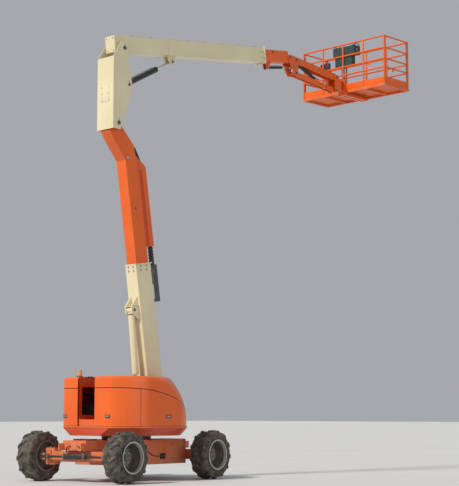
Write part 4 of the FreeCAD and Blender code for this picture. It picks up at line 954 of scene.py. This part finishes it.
def rail_panel(node, body, axis, beside, start, end, posts, lift=0.0):
    """A rail panel of welded tubes with four rails and a toe board."""
    w = Work(node + "_tubes", body, TURNER, "orange")

    def at(along, z, aside=0.0):
        return (beside + aside, along, z) if axis == "y" else (along, beside + aside, z)

    for z in LEVELS:
        w.rod(at(start, z), at(end, z), RAIL_R, segments=28)
    for k in range(posts):
        along = start + RAIL_R + k * (end - start - 2 * RAIL_R) / (posts - 1)
        w.rod(at(along, FLOOR + lift), at(along, LEVELS[0]), RAIL_R, segments=28)
    w.box(at(start, FLOOR + lift, -0.002), at(end, FLOOR + lift + 0.15, 0.002), 0.001)
    w.done([node])


rail_panel("rail_back", "platform", "y", BACK_X, -1.22, 1.22, 5)
rail_panel("rail_front", "platform", "y", FRONT_X, -1.22, 1.22, 5)
rail_panel("rail_right", "platform", "x", RIGHT_Y, 0.213, 1.051, 2)
rail_panel("gate", "gate", "x", LEFT_Y, 0.221, 1.043, 2, 0.005)
w = Work("rail_welds", "platform", TURNER, "orange")
for x, way in ((BACK_X, 1), (FRONT_X, -1)):
    bead_x = x + way * BEAD_IN
    for k in range(5):
        y = LEFT_Y * (k / 2 - 1)
        for z in BEAD_Z:
            for end in (y - 0.021, y + 0.021):
                if abs(end) < 1.21:
                    weld_ring(w, (bead_x, end, z), "y")
        weld_ring(w, (bead_x, max(BEAD_IN - LEFT_Y, min(LEFT_Y - BEAD_IN, y)), FLOOR + 0.004), "z")
        w.use("zinc").bolt((x + way * 0.003, y + 0.045, FLOOR + 0.075), (way, 0, 0), 0.012, 0.007)
    # harness anchors
    for y in (-0.78, 0.78):
        w.use("orange").box((x, y - 0.03, 0.39), (x + way * 0.004, y + 0.03, 0.45), 0.001)
        w.use("zinc").path(arc((x + way * 0.012, y, 0.42), 0.022, 0, 360, 18, "yz"), 0.004, 8)
for x, way in ((0.232, 1), (1.032, -1)):
    for z in BEAD_Z:
        weld_ring(w, (x + way * 0.021, RIGHT_Y, z), "x")
    weld_ring(w, (x, RIGHT_Y, FLOOR + 0.004), "z")
w.done()

PANEL = 0.9605
w = Work("console_controls", "platform", TURNER, "console")
w.use("plastic").box((0.226, -0.296, PANEL - 0.004), (0.432, 0.296, PANEL + 0.005))
w.use("zinc").box((0.240, -0.280, PANEL + 0.003), (0.420, 0.280, PANEL + 0.007), 0.0015)
for y in (-0.20, 0.20):
    w.use("grip").lathe([(0.0, 0.0), (0.034, 0.0), (0.034, 0.004), (0.026, 0.008), (0.028, 0.011), (0.019, 0.015),
                         (0.021, 0.018), (0.010, 0.022), (0.0, 0.022)], "z", (0.335, y, PANEL + 0.005), 28)
    w.use("zinc").stub((0.335, y, PANEL + 0.02), UP, 0.016, 0.006, 14)
    w.use("plastic").lathe([(0.0, 0.0), (0.011, 0.0), (0.016, 0.009), (0.016, 0.019), (0.011, 0.025), (0.0, 0.026)],
                           "z", (0.335, y, PANEL + 0.031), 24)
for k in range(7):
    y = -0.135 + k * 0.045
    for x in (0.285, 0.375):
        w.use("black_paint").stub((x, y, PANEL + 0.006), UP, 0.004, 0.011, 20)
        w.use("zinc").rod((x, y, PANEL + 0.010), (x + 0.006, y, PANEL + 0.030), 0.0035, 0.005, 12)
w.use("yellow").stub((0.275, 0.262, PANEL + 0.006), UP, 0.006, 0.024, 28)
w.use("red").lathe([(0.0, 0.0), (0.008, 0.0), (0.009, 0.010), (0.019, 0.016), (0.021, 0.024), (0.014, 0.031),
                    (0.0, 0.033)], "z", (0.275, 0.262, PANEL + 0.011), 28)
for y in (-0.255, -0.225):
    w.use("lamp").stub((0.275, y, PANEL + 0.006), UP, 0.008, 0.008, 20)
for side in SIDES:
    y = side * 0.302
    w.use("black_paint").path([(0.245, y, PANEL - 0.02)] + arc((0.275, y, PANEL + 0.018), 0.03, 180, 90, 6)
                              + arc((0.385, y, PANEL + 0.018), 0.03, 90, 0, 6) + [(0.415, y, PANEL - 0.02)], 0.009)
    w.use("zinc").box((0.30, side * 0.309, 0.84), (0.34, side * 0.314, 0.90), 0.001)
w.bolts(0.4433, (-0.24, -0.08, 0.08, 0.24), 0.88, (1, 0, 0), 0.010, 0.006)
for y in (-0.03, 0.03, 0.09):
    w.use("black_paint").stub((0.27, y, 0.505), (0, 0, -1), 0.035, 0.015, 18)
    w.use("hose").path([(0.27, y, 0.475), (0.272, y, 0.35), (0.262, y * 0.8, 0.15), (0.255, y * 0.6, 0.0),
                        (0.252, y * 0.5, -0.078)], 0.010)
# look, low corner, high corner, bevel: console's foot, side box and its lid, foot switch and its pedal
for look, low, high, bevel in (("console", (0.300, -0.306, 0.768), (0.4455, 0.306, 0.800), 0.004),
                               ("plastic", (0.214, 0.44, 0.46), (0.275, 0.70, 0.66), 0.006),
                               ("black_paint", (0.2745, 0.455, 0.60), (0.279, 0.685, 0.645), 0.002),
                               ("black_paint", (0.56, -0.10, FLOOR + 0.001), (0.74, 0.06, FLOOR + 0.020), 0.004),
                               ("yellow", (0.575, -0.085, FLOOR + 0.019), (0.70, 0.045, FLOOR + 0.034), 0.005)):
    w.use(look).box(low, high, bevel)
w.use("black_paint").path(arc((0.65, -0.02, FLOOR + 0.01), 0.085, 0, 180, 14, "yz"), 0.006, 10)
w.done()

w = Work("gate_parts", "gate", TURNER, "orange")
w.use("zinc").box((0.96, 1.1805, 0.47), (1.02, 1.186, 0.55), 0.001)
w.stub((0.99, LEFT_Y, 0.535), (1, 0, 0), 0.055, 0.007, 14)
for z in (0.02, 0.95):
    w.lathe([(0.0195, -0.03), (0.0235, -0.03), (0.0235, 0.03), (0.0195, 0.03)], "z", (0.240, LEFT_Y, z), 24)
w.use("black_paint").path([(0.975, 1.180, 0.49), (0.975, 1.160, 0.50), (0.975, 1.158, 0.56), (0.975, 1.180, 0.57)],
                          0.005, 10)
w.done()

# Chassis: kingpin caps, steering cylinder's glands and lines, axle bolts, frame fittings, the axle's cover.
AXLE_Z = 0.465
STEER_X, KINGPIN_X = -1.43, -1.25
w = Work("chassis_fittings", "chassis", CHASSIS, "orange_low")
for side in SIDES:
    out = (0, side, 0)
    for way in SIDES:
        cap = (KINGPIN_X, side * 0.77, AXLE_Z + way * 0.1505)
        w.use("iron").lathe([(0.0, 0.0), (0.036, 0.0), (0.034, way * 0.010), (0.022, way * 0.018),
                             (0.0, way * 0.020)], "z", cap, 28)
        bolt_ring(w.use("zinc"), cap, "xy", way, 0.052, 4, 0.013, 0.009, 45)
    w.stub((KINGPIN_X, side * 0.77, AXLE_Z + 0.168), UP, 0.012, 0.004, 8)
    w.use("iron").stub((STEER_X, side * 0.232, AXLE_Z), out, 0.031, 0.057, 36)
    w.use("zinc").nut((STEER_X, side * 0.20, AXLE_Z + 0.048), UP, 0.027, 0.012)
    w.nut((-1.4405, side * 0.10, AXLE_Z + 0.20), BACK, 0.0115, 0.014)
    w.use("hose").path([(x, side * y, AXLE_Z + z) for x, y, z in (
        (-1.43, 0.20, 0.07), (-1.437, 0.20, 0.10), (-1.452, 0.19, 0.13), (-1.466, 0.17, 0.155), (-1.468, 0.13, 0.18),
        (-1.462, 0.10, 0.195), (-1.445, 0.10, 0.20))], 0.010)
    w.use("zinc").bolts((-1.31, -1.19), side * 0.16, AXLE_Z + 0.095, UP, 0.022, 0.014)
    w.bolts((-1.31, -1.19), side * 0.62, AXLE_Z + 0.1505, UP, 0.018, 0.012)
    weld(w.use("orange_low"), [(-1.31, side * 0.182, 0.562), (-1.31, side * 0.279, 0.562)])
    # bolts round the driven axle's drums
    for end, way in ((0.7598, -1), (0.90, 1)):
        bolt_ring(w.use("zinc"), (1.25, side * end, AXLE_Z), "xz", side * way, 0.128, 8, 0.016, 0.010)
    # doublers, box and steps on the frame's side
    w.bolts((-0.66, -0.44, 0.66, 0.96), side * 0.594, (0.40, 0.66), out, 0.020, 0.013)
    w.nut((0.36, side * 0.625, 0.45), out, 0.015, 0.012)
    for look, near, far, low, high, depth, bevel in (
            ("orange_low", -0.70, -0.40, 0.36, 0.70, 0.594, 0.0015),
            ("orange_low", 0.62, 1.00, 0.36, 0.70, 0.594, 0.0015),
            ("black_paint", 0.30, 0.42, 0.40, 0.50, 0.625, 0.004),
            *(("orange_low", x - 0.008, x + 0.008, 0.735, 0.758, 0.615, 0.001) for x in (-0.70, 0.0, 0.70, 1.00))):
        w.use(look).box((near, side * 0.59, low), (far, side * depth, high), bevel)
    w.use("hose").path([(x, side * y, z) for x, y, z in (
        (0.30, 0.608, 0.45), (0.16, 0.606, 0.452), (0.05, 0.604, 0.47), (-0.05, 0.600, 0.53), (-0.06, 0.590, 0.56))],
        0.008, 10)
bolt_ring(w.use("zinc"), (1.400, 0, AXLE_Z), "yz", 1, 0.115, 10, 0.016, 0.010)
w.nut((1.427, 0, AXLE_Z - 0.05), (1, 0, 0), 0.012, 0.012)
bolt_ring(w, (0, 0, 0.7605), "xy", 1, 0.435, 12, 0.020, 0.012, 15)
w.bolts(-1.4445, (-0.045, 0.045), (0.615, 0.705), BACK, 0.012, 0.007)
w.bolts((-1.24, -1.06), (-0.18, 0.18), 0.785, UP, 0.014, 0.008)
w.use("iron").lathe([(0.0, 0.0), (0.095, 0.0), (0.085, 0.018), (0.05, 0.030), (0.0, 0.033)], "x", (1.400, 0, AXLE_Z),
                    36)
w.use("orange_low").box((-1.4445, -0.06, 0.60), (-1.4405, 0.06, 0.72), 0.001)
w.use("black_paint").box((-1.26, -0.20, 0.7602), (-1.04, 0.20, 0.7850))
w.done()

for name, side in (("left", 1), ("right", -1)):
    w = Work(f"knuckle_fittings_{name}", f"knuckle_{name}", CHASSIS, "zinc", "orange_paint")
    for way in SIDES:
        foot = AXLE_Z + way * 0.0475
        w.nut((STEER_X, side * 0.77, foot), (0, 0, way), 0.016, 0.019)
        w.stub((STEER_X, side * 0.77, foot + way * 0.016), (0, 0, way), 0.008, 0.009, 14)
    w.done()
w = Work("tie_rod_ends", "tie_rod", CHASSIS, "iron", "rod_chrome")
for side in SIDES:
    w.nut((STEER_X, side * 0.66, AXLE_Z), (0, side, 0), 0.04, 0.027)
w.done()

# Cylinders: gland nuts, end bands, ports, the line between them and rod wipers.
RAMS = (
    # name, look, barrel length, barrel radius, rod radius
    ("tower_cylinder", "cream", 1.240, 0.065, 0.0375),
    ("boom_cylinder", "black_paint", 1.060, 0.0575, 0.0325),
    ("level_cylinder", "black_paint", 0.515, 0.031, 0.016),
    ("jib_cylinder", "black_paint", 0.800, 0.0375, 0.021),
)
for name, look, long, thick, rod_r in RAMS:
    base = stand(pin(name + "_pivot"), JOINTS[name + "_stroke"]["axis"])
    w = Work(name + "_trim", name + "_barrel", base, look)
    skin, out, band = thick - 0.002, thick + 0.003, thick * 1.2
    w.lathe([(skin, long - 0.060), (out, long - 0.058), (out, long - 0.006), (skin, long - 0.001)], "x", segments=40)
    w.use("seal").lathe([(rod_r + 0.0006, long - 0.004), (rod_r + 0.006, long - 0.004), (rod_r + 0.004, long + 0.004),
                         (rod_r + 0.0006, long + 0.004)], "x", segments=36)
    w.use("iron").lathe([(skin, band), (out, band), (out, band + 0.02), (skin, band + 0.02)], "x", segments=40)
    ports = band + 0.045, long - 0.085
    w.path(at_y(0, (ports[0], thick + 0.010), (ports[0] + 0.020, thick + 0.013), (ports[1] - 0.020, thick + 0.013),
                (ports[1], thick + 0.010)), 0.0045, 8)
    for x in ports:
        w.use("zinc").nut((x, 0, thick - 0.004), UP, 0.018, 0.009)
    w.done()

# Floor, light and camera.
GROUND = 150
ground = bpy.data.meshes.new("ground")
ground.from_pydata([(-GROUND, -GROUND, 0), (GROUND, -GROUND, 0), (GROUND, GROUND, 0), (-GROUND, GROUND, 0)], [],
                   [(0, 1, 2, 3)])
plain = Tree("ground_plain")
ground.materials.append(plain.finish(
    plain.mix(plain.ramp(plain.noise(0.35, 4), 0.3, 0.7), (0.62, 0.62, 0.61), (0.66, 0.66, 0.65)), 0.85))
put("ground", ground)

world = bpy.data.worlds.new("studio")
bpy.context.scene.world = world
world.use_nodes = True
background = world.node_tree.nodes["Background"]
background.inputs["Color"].default_value = (0.90, 0.93, 1.0, 1)
background.inputs["Strength"].default_value = 0.42


def aim(item, direction):
    item.rotation_euler = Vector(direction).to_track_quat("-Z", "Y").to_euler()


def sun(name, direction, strength, angle, colour):
    data = bpy.data.lights.new(name, "SUN")
    data.energy, data.angle, data.color = strength, math.radians(angle), colour
    aim(put(name, data), direction)


# Level directions of the photograph's view: ahead and to the right.
AHEAD = Vector((0.7193, 0.6947, 0))
RIGHT = Vector((0.6947, -0.7193, 0))
RISE = Vector(UP)
sun("key", AHEAD * 0.55 + RIGHT * 0.62 - RISE * 0.75, 2.9, 8, (1.0, 0.96, 0.90))
sun("fill", AHEAD * 0.8 - RIGHT * 0.5 - RISE * 0.25, 0.35, 40, (0.92, 0.95, 1.0))

SENSOR_TALL = 36
PHOTO_TALL = 486
FOCAL_PIXELS = 1374
PITCH = math.radians(7.07)
camera_data = bpy.data.cameras.new("camera")
camera_data.sensor_fit = "VERTICAL"
camera_data.sensor_height = SENSOR_TALL
camera_data.lens = FOCAL_PIXELS / PHOTO_TALL * SENSOR_TALL
camera_data.clip_end = 500
camera = put("camera", camera_data)
camera.location = (SWING.x - 17.65, -19.78, 1.251)
aim(camera, AHEAD * math.cos(PITCH) + RISE * math.sin(PITCH))
bpy.context.scene.camera = camera
bpy.context.scene.view_settings.view_transform = "Standard"
